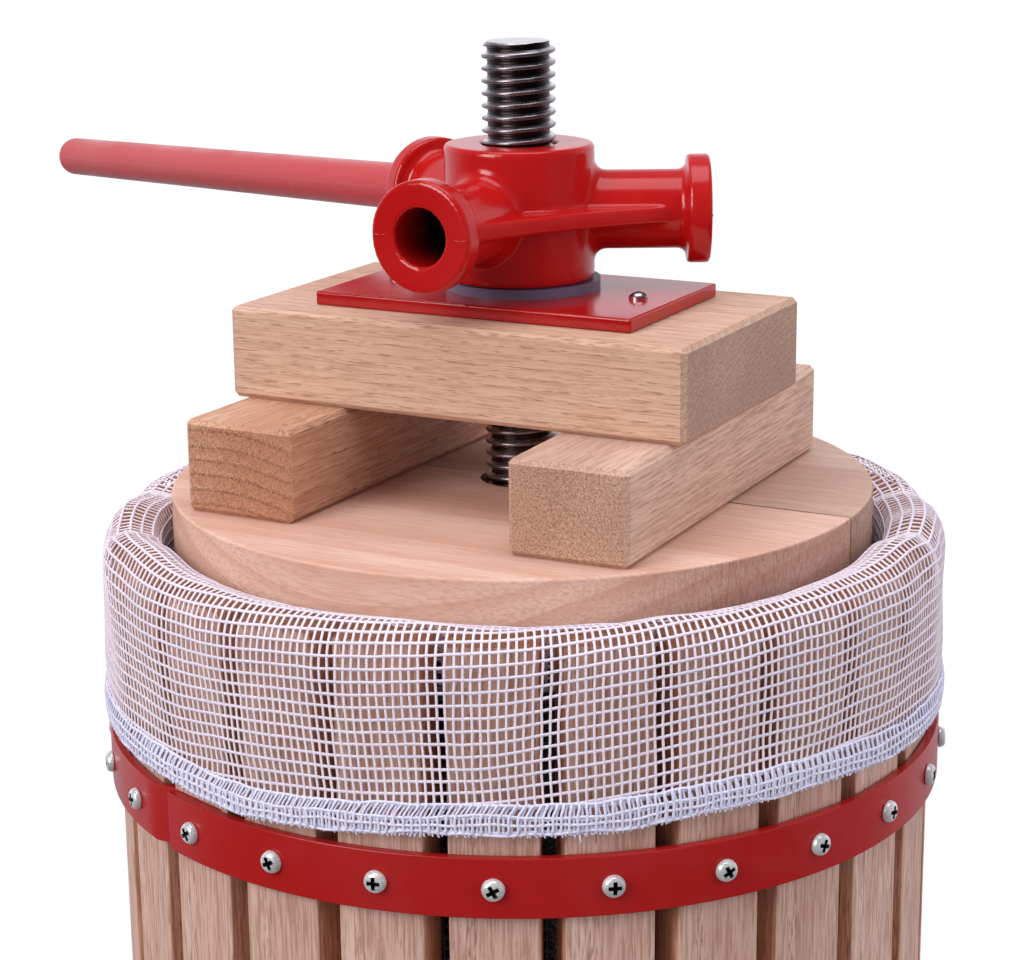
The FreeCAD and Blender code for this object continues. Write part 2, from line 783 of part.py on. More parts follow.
def build():
    """Makes every sub-part and writes its file."""
    os.makedirs("parts", exist_ok=True)
    for index in range(stave_count):
        save("stave_%02d" % (index + 1), stave(index))
    for name, z in hoop_levels.items():
        save("hoop_" + name, hoop(z))
        save("hoop_screws_" + name, hoop_screws(z))
    save("straining_bag", straining_bag())
    save("press_screw", press_screw())
    save("screw_washer_upper", flat_washer(tray_floor_height))
    save("screw_nut_upper", fixed_nut(tray_floor_height + flat_washer_thickness))
    save("screw_washer_lower", flat_washer(spider_bottom - flat_washer_thickness))
    save("screw_nut_lower", fixed_nut(lower_nut_bottom))
    save("half_disc_front", half_disc(-1))
    save("half_disc_back", half_disc(1))
    save("cross_block_left", cross_block(-1, left_block_turn))
    save("cross_block_right", cross_block(1, right_block_turn))
    save("top_block", top_block())
    save("head_plate", head_plate())
    save("plate_screws", plate_screws())
    save("nylon_washer", nylon_washer())
    save("press_nut", press_nut())
    save("lever_bar", lever_bar())
    save("juice_tray", juice_tray())
    save("base_spider", base_spider())
    for number, azimuth in enumerate(leg_azimuths, 1):
        save("leg_%d" % number, turned(leg(), azimuth))
    save("leg_bolts", leg_bolts())


build()
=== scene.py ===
"""A hand-worked basket fruit press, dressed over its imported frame.

The frame brings every rigid piece at its real size. This script gives each of them its finish, makes
the pieces that need more form than the frame's solids have (the screw's helical thread, the nut's
smooth casting, the painted edges, the crossed screw heads and the net bag), and sets up the studio.
Lengths are in metres. +Z is up, the tray's spout points along -Y, and an azimuth is measured from the
front (-Y) towards +X.
"""

import logging
import math
from dataclasses import dataclass
from enum import Enum

import bmesh
import bpy
import numpy as np
from mathutils import Matrix, Vector


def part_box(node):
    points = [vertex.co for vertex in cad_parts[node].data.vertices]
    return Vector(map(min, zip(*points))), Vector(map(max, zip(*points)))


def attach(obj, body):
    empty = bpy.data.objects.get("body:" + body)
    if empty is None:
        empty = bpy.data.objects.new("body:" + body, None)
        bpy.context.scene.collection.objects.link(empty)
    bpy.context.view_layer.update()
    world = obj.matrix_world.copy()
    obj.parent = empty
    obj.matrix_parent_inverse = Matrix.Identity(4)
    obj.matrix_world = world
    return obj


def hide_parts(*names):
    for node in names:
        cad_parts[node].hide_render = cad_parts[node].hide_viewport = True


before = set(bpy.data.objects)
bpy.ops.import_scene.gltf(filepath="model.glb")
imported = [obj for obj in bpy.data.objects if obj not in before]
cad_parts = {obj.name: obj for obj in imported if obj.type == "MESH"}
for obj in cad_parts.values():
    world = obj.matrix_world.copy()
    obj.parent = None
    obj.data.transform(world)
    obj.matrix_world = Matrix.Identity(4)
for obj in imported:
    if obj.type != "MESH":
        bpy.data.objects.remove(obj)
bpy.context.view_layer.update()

LOG = logging.getLogger("fruit_press")
MM = 0.001
# Corners closer than this are one corner
WELD = 0.002 * MM
UP = np.array([0.0, 0.0, 1.0])

Socket = bpy.types.NodeSocket
Tree = bpy.types.NodeTree
Colour = tuple[float, float, float]
Value = float | tuple | Socket


def linear(red: float, green: float, blue: float) -> Colour:
    """Turns a colour given in display values, 0 to 255, into scene-linear values.

    Args:
        red: The red value.
        green: The green value.
        blue: The blue value.

    Returns:
        The colour as three linear numbers from 0 to 1.
    """
    return tuple(
        (c / 255 / 12.92) if c <= 10.31 else ((c / 255 + 0.055) / 1.055) ** 2.4 for c in (red, green, blue)
    )


class NodeSheet:
    """Adds nodes to one shader tree and links them."""

    def __init__(self, tree: Tree) -> None:
        """Keeps the tree.

        Args:
            tree: The node tree to fill.
        """
        self.tree = tree

    def feed(self, socket: Socket, value: Value) -> None:
        """Links a socket to the input, or sets the input to a plain value.

        Args:
            socket: The input to feed.
            value: A socket, a number or a tuple.
        """
        if isinstance(value, bpy.types.NodeSocket):
            self.tree.links.new(value, socket)
        elif isinstance(value, tuple) and socket.type == "RGBA":
            socket.default_value = (*value, 1.0)
        else:
            socket.default_value = value

    def node(self, kind: str, inputs: dict[str | int, Value] | None = None,
             **settings: str | Tree) -> bpy.types.Node:
        """Adds a node.

        Args:
            kind: The node's class name.
            inputs: Values or sockets for its inputs, by name or index.
            **settings: Properties of the node.

        Returns:
            The new node.
        """
        made = self.tree.nodes.new(kind)
        for name, value in settings.items():
            setattr(made, name, value)
        for key, value in (inputs or {}).items():
            self.feed(made.inputs[key], value)
        return made

    def fill(self, node: bpy.types.Node, **values: Value) -> None:
        """Feeds a node's inputs by name, with underscores for spaces."""
        for name, value in values.items():
            self.feed(node.inputs[name.replace("_", " ")], value)

    def math(self, operation: str, *values: Value) -> Socket:
        """Adds a Math node and returns its result."""
        made = self.node("ShaderNodeMath", dict(enumerate(values)), operation=operation)
        return made.outputs[0]

    def times(self, first: Value, second: Value) -> Socket:
        """Multiplies two numbers."""
        return self.math("MULTIPLY", first, second)

    def plus(self, first: Value, second: Value) -> Socket:
        """Adds two numbers."""
        return self.math("ADD", first, second)

    def minus(self, first: Value, second: Value) -> Socket:
        """Takes the second number from the first."""
        return self.math("SUBTRACT", first, second)

    def over(self, first: Value, second: Value) -> Socket:
        """Divides the first number by the second."""
        return self.math("DIVIDE", first, second)

    def vector(self, operation: str, *values: Value) -> Socket:
        """Adds a Vector Math node and returns its vector."""
        made = self.node("ShaderNodeVectorMath", dict(enumerate(values)), operation=operation)
        return made.outputs["Vector"]

    def measure(self, operation: str, *values: Value) -> Socket:
        """Adds a Vector Math node and returns its number."""
        made = self.node("ShaderNodeVectorMath", dict(enumerate(values)), operation=operation)
        return made.outputs["Value"]

    def reach(self, x: Socket, y: Socket) -> Socket:
        """Returns the length of two parts taken together."""
        return self.math("SQRT", self.plus(self.times(x, x), self.times(y, y)))

    def split(self, vector: Socket) -> list[Socket]:
        """Returns a vector's three parts."""
        return list(self.node("ShaderNodeSeparateXYZ", {0: vector}).outputs)

    def join(self, x: Value, y: Value, z: Value) -> Socket:
        """Returns a vector made of three parts."""
        return self.node("ShaderNodeCombineXYZ", {0: x, 1: y, 2: z}).outputs[0]

    def ease(self, value: Socket, low: float, high: float, start: float = 0.0, end: float = 1.0) -> Socket:
        """Maps a value smoothly from one range to another.

        Args:
            value: The value to map.
            low: The value that gives start.
            high: The value that gives end.
            start: The result at low and below.
            end: The result at high and above.

        Returns:
            The mapped value.
        """
        made = self.node(
            "ShaderNodeMapRange",
            {"Value": value, "From Min": low, "From Max": high, "To Min": start, "To Max": end},
            interpolation_type="SMOOTHSTEP",
        )
        return made.outputs[0]

    def noise(self, vector: Socket, scale: Value, detail: float = 2.0, roughness: float = 0.5) -> Socket:
        """Returns the value of a noise over a vector."""
        inputs = {"Vector": vector, "Scale": scale, "Detail": detail, "Roughness": roughness}
        return self.node("ShaderNodeTexNoise", inputs).outputs[0]

    def mix(self, share: Value, first: bpy.types.Node, second: bpy.types.Node) -> bpy.types.Node:
        """Mixes the shaders of two nodes by a share."""
        return self.node("ShaderNodeMixShader", {0: share, 1: first.outputs[0], 2: second.outputs[0]})

    def blend(self, share: Value, first: Value, second: Value, kind: str = "MIX") -> Socket:
        """Mixes two colours by a share."""
        made = self.node("ShaderNodeMix", {0: share, 6: first, 7: second}, data_type="RGBA", blend_type=kind)
        return made.outputs[2]


class Effects:
    """The shader node groups that several finishes share, each built once.

    The scales of the wood's noises are in cells per metre along the grain, across it and through it.
    """

    DRIFT = (4.0, 20.0, 20.0)
    VESSELS = (190.0, 2600.0, 2600.0)
    FIBRES = (55.0, 1150.0, 1150.0)
    TONES = (3.0, 22.0, 22.0)
    END_DOTS = 1700.0
    RING_SCATTER = 55.0
    PAINT_CLOUDS = 28.0
    METAL_SMEARS = 160.0

    def __init__(self) -> None:
        """Builds every group."""
        self.timber = self._timber()
        self.stave_frame = self._stave_frame()
        self.paint_film = self._paint_film()
        self.rubbed_metal = self._rubbed_metal()

    @staticmethod
    def _new(name: str, inputs: dict[str, tuple[str, Value]], outputs: dict[str, str]) -> tuple:
        """Makes an empty group with named sockets.

        Args:
            name: The group's name.
            inputs: Each input's kind and default, by name.
            outputs: Each output's kind, by name.

        Returns:
            The group's tree, its sheet, its input node and its output node.
        """
        tree = bpy.data.node_groups.new(name, "ShaderNodeTree")
        for label, (kind, default) in inputs.items():
            socket = tree.interface.new_socket(label, in_out="INPUT", socket_type=f"NodeSocket{kind}")
            socket.default_value = default
        for label, kind in outputs.items():
            tree.interface.new_socket(label, in_out="OUTPUT", socket_type=f"NodeSocket{kind}")
        sheet = NodeSheet(tree)
        return tree, sheet, sheet.node("NodeGroupInput"), sheet.node("NodeGroupOutput")

    def place(self, sheet: NodeSheet, group: Tree, **inputs: Value) -> bpy.types.Node:
        """Puts a group into a material with its own values.

        Args:
            sheet: The material's sheet.
            group: The group to place.
            **inputs: Its inputs, with underscores for spaces.

        Returns:
            The group node.
        """
        made = sheet.node("ShaderNodeGroup", node_tree=group)
        sheet.fill(made, **inputs)
        return made

    def _timber(self) -> Tree:
        """Sawn hardwood in a frame whose X runs along the grain: rings, pores, fibre and tone.

        Returns:
            The group's tree.
        """
        tree, sheet, into, out = self._new(
            "Timber",
            {
                "Vector": ("Vector", (0.0, 0.0, 0.0)),
                "Seed": ("Float", 0.0),
                "Ring Spacing": ("Float", 0.004),
                "Pith Y": ("Float", 0.0),
                "Pith Z": ("Float", -0.1),
                "Wander": ("Float", 0.004),
                "Porosity": ("Float", 1.0),
                "Ring Porous": ("Float", 0.0),
                "Dot Stretch": ("Float", self.END_DOTS),
            },
            {"Rings": "Float", "Pores": "Float", "Fibre": "Float", "Tone": "Float", "Speckle": "Float",
             "Height": "Float"},
        )
        point = into.outputs["Vector"]
        seed = into.outputs["Seed"]
        seeded = sheet.vector("ADD", point, sheet.join(seed, seed, seed))
        drifting = {"Vector": sheet.vector("MULTIPLY", seeded, self.DRIFT), "Scale": 1.0}
        drift = sheet.node("ShaderNodeTexNoise", drifting).outputs["Color"]
        scaled = {0: sheet.vector("SUBTRACT", drift, (0.5, 0.5, 0.5)), "Scale": into.outputs["Wander"]}
        wander = sheet.node("ShaderNodeVectorMath", scaled, operation="SCALE").outputs["Vector"]
        _, across, height = sheet.split(sheet.vector("ADD", point, wander))
        across = sheet.minus(across, into.outputs["Pith Y"])
        height = sheet.minus(height, into.outputs["Pith Z"])
        radius = sheet.reach(across, height)
        uneven = sheet.noise(sheet.join(radius, seed, 0.0), self.RING_SCATTER, 1.0)
        turns = sheet.over(radius, into.outputs["Ring Spacing"])
        band = sheet.math("FRACT", sheet.plus(turns, uneven))
        late = sheet.minus(sheet.ease(band, 0.3, 0.93), sheet.ease(band, 0.94, 1.0))
        early = sheet.minus(1.0, sheet.ease(band, 0.05, 0.4))
        vessels = sheet.noise(sheet.vector("MULTIPLY", seeded, self.VESSELS), 1.0, 1.0)
        open_grain = sheet.times(into.outputs["Porosity"], sheet.ease(early, 0.0, 1.0, 0.35, 1.0))
        bar = sheet.minus(0.70, sheet.times(open_grain, 0.24))
        pores = sheet.ease(sheet.minus(vessels, bar), 0.0, 0.16)
        fibre = sheet.noise(sheet.vector("MULTIPLY", seeded, self.FIBRES), 1.0, 3.0, 0.6)
        dotted = sheet.join(self.END_DOTS, self.END_DOTS, into.outputs["Dot Stretch"])
        dots = sheet.noise(sheet.vector("MULTIPLY", seeded, dotted), 1.0, 1.5, 0.6)
        gathered = sheet.times(into.outputs["Ring Porous"], sheet.ease(early, 0.1, 1.0, -0.05, 0.075))
        speckle = sheet.ease(sheet.plus(dots, gathered), 0.46, 0.66)
        tone = sheet.noise(sheet.vector("MULTIPLY", seeded, self.TONES), 1.0, 2.0)
        relief = sheet.minus(sheet.times(fibre, 0.5), pores)
        sheet.fill(out, Rings=late, Pores=pores, Fibre=fibre, Tone=tone, Speckle=speckle, Height=relief)
        return tree

    def _stave_frame(self) -> Tree:
        """A stave's own frame: X up the stave, Y round the basket, Z outwards, with a random per stave.

        Returns:
            The group's tree.
        """
        tree, sheet, into, out = self._new(
            "Stave Frame",
            {
                "Vector": ("Vector", (0.0, 0.0, 0.0)),
                "First Azimuth": ("Float", 0.0),
                "Count": ("Float", 25.0),
                "Radius": ("Float", 0.137),
            },
            {"Vector": "Vector", "Random": "Float"},
        )
        x, y, z = sheet.split(into.outputs["Vector"])
        azimuth = sheet.math("ARCTAN2", x, sheet.times(y, -1.0))
        step = sheet.over(math.tau, into.outputs["Count"])
        turn = sheet.over(sheet.minus(azimuth, into.outputs["First Azimuth"]), step)
        index = sheet.math("ROUND", turn)
        across = sheet.times(sheet.times(sheet.minus(turn, index), step), into.outputs["Radius"])
        radius = sheet.reach(x, y)
        number = sheet.math("FLOORED_MODULO", index, into.outputs["Count"])
        random = sheet.node("ShaderNodeTexWhiteNoise", {"W": number}, noise_dimensions="1D").outputs["Value"]
        shift = sheet.times(random, 7.0)
        sheet.fill(out, Vector=sheet.join(sheet.plus(z, shift), across, radius), Random=random)
        return tree

    def _paint_film(self) -> Tree:
        """A sprayed film: a slow orange peel, a faint cloudiness and a few specks of dust.

        Returns:
            The group's tree.
        """
        tree, sheet, into, out = self._new(
            "Paint Film",
            {
                "Vector": ("Vector", (0.0, 0.0, 0.0)),
                "Peel Size": ("Float", 0.003),
                "Speck Size": ("Float", 0.002),
            },
            {"Cloud": "Float", "Specks": "Float", "Height": "Float"},
        )
        point = into.outputs["Vector"]
        peel = sheet.noise(point, sheet.over(1.0, into.outputs["Peel Size"]), 1.0)
        cloud = sheet.noise(point, self.PAINT_CLOUDS, 3.0, 0.6)
        fineness = sheet.over(1.0, into.outputs["Speck Size"])
        cells = sheet.node("ShaderNodeTexVoronoi", {"Vector": point, "Scale": fineness})
        dot = sheet.ease(cells.outputs["Distance"], 0.10, 0.05)
        chance = sheet.ease(sheet.split(cells.outputs["Color"])[0], 0.965, 0.985)
        specks = sheet.times(dot, chance)
        sheet.fill(out, Cloud=cloud, Specks=specks, Height=sheet.plus(peel, specks))
        return tree

    def _rubbed_metal(self) -> Tree:
        """Handled unpainted metal: fine scratches, smears and small pits.

        Returns:
            The group's tree.
        """
        tree, sheet, into, out = self._new(
            "Rubbed Metal",
            {"Vector": ("Vector", (0.0, 0.0, 0.0)), "Scratch Size": ("Float", 0.0006)},
            {"Smears": "Float", "Scratches": "Float", "Height": "Float"},
        )
        point = into.outputs["Vector"]
        scale = sheet.over(1.0, into.outputs["Scratch Size"])
        smears = sheet.noise(point, self.METAL_SMEARS, 3.0, 0.6)
        scratches = sheet.noise(sheet.vector("MULTIPLY", point, (0.15, 0.15, 1.0)), scale, 2.0)
        sheet.fill(out, Smears=smears, Scratches=scratches, Height=sheet.plus(smears, scratches))
        return tree


def new_material(name: str) -> tuple[bpy.types.Material, NodeSheet, bpy.types.Node]:
    """Makes a material with an empty tree and a Principled shader on its output.

    Args:
        name: The material's name.

    Returns:
        The material, its sheet and its Principled node.
    """
    material = bpy.data.materials.new(name)
    material.use_nodes = True
    material.node_tree.nodes.clear()
    sheet = NodeSheet(material.node_tree)
    shader = sheet.node("ShaderNodeBsdfPrincipled")
    sheet.node("ShaderNodeOutputMaterial", {"Surface": shader.outputs[0]})
    return material, sheet, shader


def object_point(sheet: NodeSheet) -> Socket:
    """Returns the point in the piece's own frame, which is the press's frame at rest."""
    return sheet.node("ShaderNodeTexCoord").outputs["Object"]


def bump(sheet: NodeSheet, height: Socket, strength: float, distance: float) -> Socket:
    """Returns a normal bent by a height."""
    inputs = {"Height": height, "Strength": strength, "Distance": distance}
    return sheet.node("ShaderNodeBump", inputs).outputs[0]


class GrainRun(Enum):
    """Which way the grain of a wooden piece runs."""

    UP_THE_STAVE = "up the stave"
    ALONG_THE_SEAM = "along the seam between the half discs"
    ACROSS_THE_SEAM = "across the seam between the half discs"


@dataclass(frozen=True)
class WoodFinish:
    """Sanded, unfinished hardwood."""

    name: str
    run: GrainRun
    light: Colour
    dark: Colour
    pore: Colour
    end_shade: Colour
    seed: float = 0.0
    ring_spacing: float = 4.0 * MM
    pith: tuple[float, float] = (0.0, -0.1)
    wander: float = 4.0 * MM
    ring_strength: float = 0.25
    pore_strength: float = 0.6
    porosity: float = 0.8
    streak: float = 0.55
    speckle: float = 0.8
    ring_porous: float = 0.0
    dot_stretch: float = Effects.END_DOTS
    # Painted shade: a darker, warmer tint on the staves' faces that look across the gaps between them
    gap_shade_tint: Colour = (1.0, 1.0, 1.0)
    head_yaw: float = math.radians(-27.4)
    first_stave: float = math.radians(-3.9)
    stave_count: float = 25.0

    def _grain_frame(self, sheet: NodeSheet, effects: Effects) -> tuple[Socket, Socket, Socket | None]:
        """Puts the point into the grain's frame and finds the end grain.

        Args:
            sheet: The material's sheet.
            effects: The shared groups.

        Returns:
            The point, the share of end grain, and the stave's random number if it is a stave.
        """
        source = sheet.node("ShaderNodeTexCoord")
        if self.run is GrainRun.UP_THE_STAVE:
            placed = effects.place(
                sheet, effects.stave_frame, Vector=source.outputs["Object"],
                First_Azimuth=self.first_stave, Count=self.stave_count,
            )
            end = sheet.math("ABSOLUTE", sheet.split(source.outputs["Normal"])[2])
            return placed.outputs["Vector"], end, placed.outputs["Random"]
        turn = -self.head_yaw - (math.pi / 2 if self.run is GrainRun.ACROSS_THE_SEAM else 0.0)
        inputs = {"Rotation": (0.0, 0.0, turn)}
        point = sheet.node("ShaderNodeMapping", {"Vector": source.outputs["Object"], **inputs}).outputs[0]
        facing = sheet.node(
            "ShaderNodeMapping", {"Vector": source.outputs["Normal"], **inputs}, vector_type="VECTOR"
        ).outputs[0]
        return point, sheet.math("ABSOLUTE", sheet.split(facing)[0]), None

    @staticmethod
    def _gap_face_share(sheet: NodeSheet) -> Socket:
        """Finds how far a stave's face looks along the hoop instead of out of the basket, which sets the
        painted shade of the gaps.

        Args:
            sheet: The material's sheet.

        Returns:
            The share, from 0 on the broad faces to 1.
        """
        source = sheet.node("ShaderNodeTexCoord")
        level = sheet.vector("MULTIPLY", source.outputs["Object"], (1.0, 1.0, 0.0))
        radial = sheet.vector("NORMALIZE", level)
        facing = sheet.math("ABSOLUTE", sheet.measure("DOT_PRODUCT", radial, source.outputs["Normal"]))
        return sheet.ease(facing, 0.6, 0.3)

    def material(self, effects: Effects) -> bpy.types.Material:
        """Builds the material.

        Args:
            effects: The shared groups.

        Returns:
            The material.
        """
        material, sheet, shader = new_material(self.name)
        point, end, random = self._grain_frame(sheet, effects)
        wood = effects.place(
            sheet, effects.timber, Vector=point, Seed=self.seed, Ring_Spacing=self.ring_spacing,
            Pith_Y=self.pith[0], Pith_Z=self.pith[1], Wander=self.wander, Porosity=self.porosity,
            Ring_Porous=self.ring_porous, Dot_Stretch=self.dot_stretch,
        )
        end = sheet.ease(end, 0.55, 0.9)
        tone = sheet.ease(wood.outputs["Tone"], 0.3, 0.7)
        if random is not None:
            tone = sheet.plus(sheet.times(tone, 0.45), sheet.times(random, 0.55))
        middle = tuple((a + b) / 2 for a, b in zip(self.light, self.dark))
        colour = sheet.blend(tone, self.light, middle)
        rings = sheet.times(wood.outputs["Rings"], self.ring_strength)
        colour = sheet.blend(rings, colour, self.dark)
        fibre = sheet.ease(wood.outputs["Fibre"], 0.40, 0.66, 0.0, self.streak)
        colour = sheet.blend(fibre, colour, self.dark)
        pores = sheet.times(wood.outputs["Pores"], self.pore_strength)
        colour = sheet.blend(pores, colour, self.pore)
        speckle = sheet.times(sheet.times(wood.outputs["Speckle"], end), self.speckle)
        colour = sheet.blend(speckle, colour, self.pore)
        shaded = sheet.blend(end, colour, self.end_shade, "MULTIPLY")
        # Painted shade: the staves' faces that look across the gaps are tinted darker and warmer
        if random is not None:
            shaded = sheet.blend(self._gap_face_share(sheet), shaded, self.gap_shade_tint, "MULTIPLY")
        rough = sheet.ease(wood.outputs["Fibre"], 0.3, 0.7, 0.52, 0.68)
        normal = bump(sheet, wood.outputs["Height"], 0.35, 0.25 * MM)
        sheet.fill(shader, Base_Color=shaded, Roughness=rough, Specular_IOR_Level=0.35, Normal=normal)
        return material


@dataclass(frozen=True)
class PaintFinish:
    """Red stoving paint over steel or cast iron."""

    name: str
    colour: Colour
    faded: Colour
    roughness: float = 0.16
    fade: float = 0.4
    peel_size: float = 3.5 * MM
    peel_depth: float = 0.03 * MM
    speck_size: float = 6.0 * MM
    # Painted shade: the near-black colour that the insides of the bores darken to
    bore_shade: Colour = (0.012, 0.004, 0.004)
    # Each bore whose inside is darkened with painted shade: a point on its axis and the axis's direction
    bores: tuple = ()
    bore_radius: float = 10.0 * MM
    # Where the painted shade begins at the mouth, where it is full, and the bore's inner end, from the bore's
    # middle
    bore_mouth: float = 22.5 * MM
    bore_shade_full: float = -4.0 * MM
    bore_end: float = -24.0 * MM

    def _bore_shade_share(self, sheet: NodeSheet, point: Socket) -> Socket:
        """Finds how far a point lies inside one of the bores, which is the share of painted shade there.

        Args:
            sheet: The material's sheet.
            point: The point in the press's frame.

        Returns:
            The share, from 0 outside the bores to 1.
        """
        total = 0.0
        for start, axis in self.bores:
            away = sheet.vector("SUBTRACT", point, start)
            along = sheet.measure("DOT_PRODUCT", away, axis)
            distance = sheet.measure("LENGTH", sheet.vector("CROSS_PRODUCT", away, axis))
            inside = sheet.ease(distance, self.bore_radius, self.bore_radius - 0.25 * MM)
            deep = sheet.times(inside, sheet.ease(along, self.bore_mouth, self.bore_shade_full))
            # The bore ends before the hub's far side
            deep = sheet.times(deep, sheet.ease(along, self.bore_end - 2.0 * MM, self.bore_end))
            total = sheet.math("MAXIMUM", total, deep)
        return total

    def material(self, effects: Effects) -> bpy.types.Material:
        """Builds the material from the shared groups.

        Args:
            effects: The shared groups.

        Returns:
            The material.
        """
        material, sheet, shader = new_material(self.name)
        film = effects.place(
            sheet, effects.paint_film, Vector=object_point(sheet), Peel_Size=self.peel_size,
            Speck_Size=self.speck_size,
        )
        faded = sheet.ease(film.outputs["Cloud"], 0.4, 0.7, 0.0, self.fade)
        colour = sheet.blend(faded, self.colour, self.faded)
        dust = sheet.times(film.outputs["Specks"], 0.5)
        colour = sheet.blend(dust, colour, self.faded)
        # Painted shade: the insides of the bores darken to near black away from their mouths
        if self.bores:
            colour = sheet.blend(self._bore_shade_share(sheet, object_point(sheet)), colour, self.bore_shade)
        rough = sheet.ease(film.outputs["Cloud"], 0.35, 0.7, self.roughness * 0.85, self.roughness * 1.3)
        normal = bump(sheet, film.outputs["Height"], 0.3, self.peel_depth)
        sheet.fill(shader, Base_Color=colour, Roughness=rough, Normal=normal)
        return material


@dataclass(frozen=True)
class PlatedSteel:
    """Bright zinc-plated steel, for screws, bolts, nuts and washers."""

    name: str = "zinc_plate"
    bright: Colour = (0.78, 0.78, 0.80)
    dull: Colour = (0.46, 0.46, 0.48)
    roughness: float = 0.2
    metallic: float = 1.0

    def material(self, effects: Effects) -> bpy.types.Material:
        """Builds the material from the shared groups.

        Args:
            effects: The shared groups.

        Returns:
            The material.
        """
        material, sheet, shader = new_material(self.name)
        metal = effects.place(sheet, effects.rubbed_metal, Vector=object_point(sheet))
        smears = sheet.ease(metal.outputs["Smears"], 0.35, 0.7)
        colour = sheet.blend(smears, self.bright, self.dull)
        rough = sheet.ease(metal.outputs["Scratches"], 0.3, 0.7, self.roughness * 0.7, self.roughness * 1.6)
        normal = bump(sheet, metal.outputs["Height"], 0.15, 0.05 * MM)
        sheet.fill(shader, Base_Color=colour, Metallic=self.metallic, Roughness=rough, Normal=normal)
        return material


@dataclass(frozen=True)
class OiledThread:
    """Dark oiled steel that darkens towards its thread's roots and whose crests are rubbed bright; faces that
    look up are pale, which is painted light on the thread's upper flanks.
    """

    name: str = "dark_steel"
    # The colour that the thread darkens to towards its roots
    root_colour: Colour = (0.040, 0.028, 0.030)
    steel: Colour = (0.20, 0.18, 0.19)
    crest: Colour = (0.34, 0.31, 0.33)
    # Pale colour of faces that look up: real on the cut top end, painted light from above on the thread's
    # upper flanks
    cut: Colour = (0.94, 0.92, 0.96)
    root_radius: float = 10.6 * MM
    crest_radius: float = 12.7 * MM

    def material(self, effects: Effects) -> bpy.types.Material:
        """Builds the material from the shared groups.

        Args:
            effects: The shared groups.

        Returns:
            The material.
        """
        material, sheet, shader = new_material(self.name)
        point = object_point(sheet)
        metal = effects.place(sheet, effects.rubbed_metal, Vector=point)
        x, y, _ = sheet.split(point)
        radius = sheet.reach(x, y)
        flank = sheet.ease(radius, self.root_radius + 0.3 * MM, self.crest_radius - 0.5 * MM)
        rubbed = sheet.ease(radius, self.crest_radius - 0.4 * MM, self.crest_radius - 0.1 * MM)
        # Faces that look up turn pale: the cut top end, and with painted light, the thread's upper flanks
        facing = sheet.split(sheet.node("ShaderNodeTexCoord").outputs["Normal"])[2]
        cut = sheet.ease(facing, 0.55, 0.9)
        colour = sheet.blend(flank, self.root_colour, self.steel)
        rubbed = sheet.times(rubbed, sheet.ease(metal.outputs["Smears"], 0.3, 0.6, 0.5, 1.0))
        colour = sheet.blend(cut, sheet.blend(rubbed, colour, self.crest), self.cut)
        rough = sheet.ease(metal.outputs["Scratches"], 0.3, 0.7, 0.24, 0.42)
        normal = bump(sheet, metal.outputs["Height"], 0.2, 0.08 * MM)
        sheet.fill(shader, Base_Color=colour, Metallic=1.0, Roughness=rough, Normal=normal)
        return material


@dataclass(frozen=True)
class MilkyPlastic:
    """Natural nylon, a little see-through at its edge, its colour darkened with painted shade from the nut
    above it.
    """

    name: str = "nylon"
    # Painted shade: this colour is darkened for the shade that the nut casts on the washer
    colour: Colour = (0.155, 0.12, 0.19)

    def material(self, effects: Effects) -> bpy.types.Material:
        """Builds the material from the shared groups.

        Args:
            effects: The shared groups.

        Returns:
            The material.
        """
        material, sheet, shader = new_material(self.name)
        film = effects.place(sheet, effects.paint_film, Vector=object_point(sheet), Peel_Size=1.5 * MM)
        warm = tuple(c * 0.88 for c in self.colour)
        colour = sheet.blend(film.outputs["Cloud"], self.colour, warm)
        rough = sheet.ease(film.outputs["Cloud"], 0.3, 0.7, 0.3, 0.45)
        normal = bump(sheet, film.outputs["Height"], 0.2, 0.05 * MM)
        sheet.fill(
            shader, Base_Color=colour, Roughness=rough, Normal=normal, Subsurface_Weight=0.25,
            Subsurface_Radius=(2.0 * MM, 1.6 * MM, 1.6 * MM), Subsurface_Scale=1.0,
        )
        return material


@dataclass(frozen=True)
class YarnFinish:
    """Twisted polyester yarn of the net."""

    name: str
    colour: Colour
    shade: Colour
    twist: float = 0.45 * MM

    def material(self, effects: Effects) -> bpy.types.Material:
        """Builds the material.

        Args:
            effects: The shared groups, of which yarn needs none.

        Returns:
            The material.
        """
        material, sheet, shader = new_material(self.name)
        point = object_point(sheet)
        plies = sheet.noise(point, 1.0 / self.twist, 2.0, 0.6)
        slow = sheet.noise(point, 60.0, 2.0)
        mixed = sheet.times(sheet.ease(plies, 0.35, 0.65), sheet.ease(slow, 0.2, 0.8, 0.5, 1.0))
        colour = sheet.blend(mixed, self.shade, self.colour)
        rough = sheet.ease(plies, 0.3, 0.7, 0.5, 0.7)
        normal = bump(sheet, plies, 0.5, 0.12 * MM)
        sheet.fill(
            shader, Base_Color=colour, Roughness=rough, Normal=normal, Specular_IOR_Level=0.3,
            Sheen_Weight=0.25, Sheen_Roughness=0.5,
        )
        return material


RED = linear(177, 17, 16)
RED_FADED = linear(186, 30, 30)


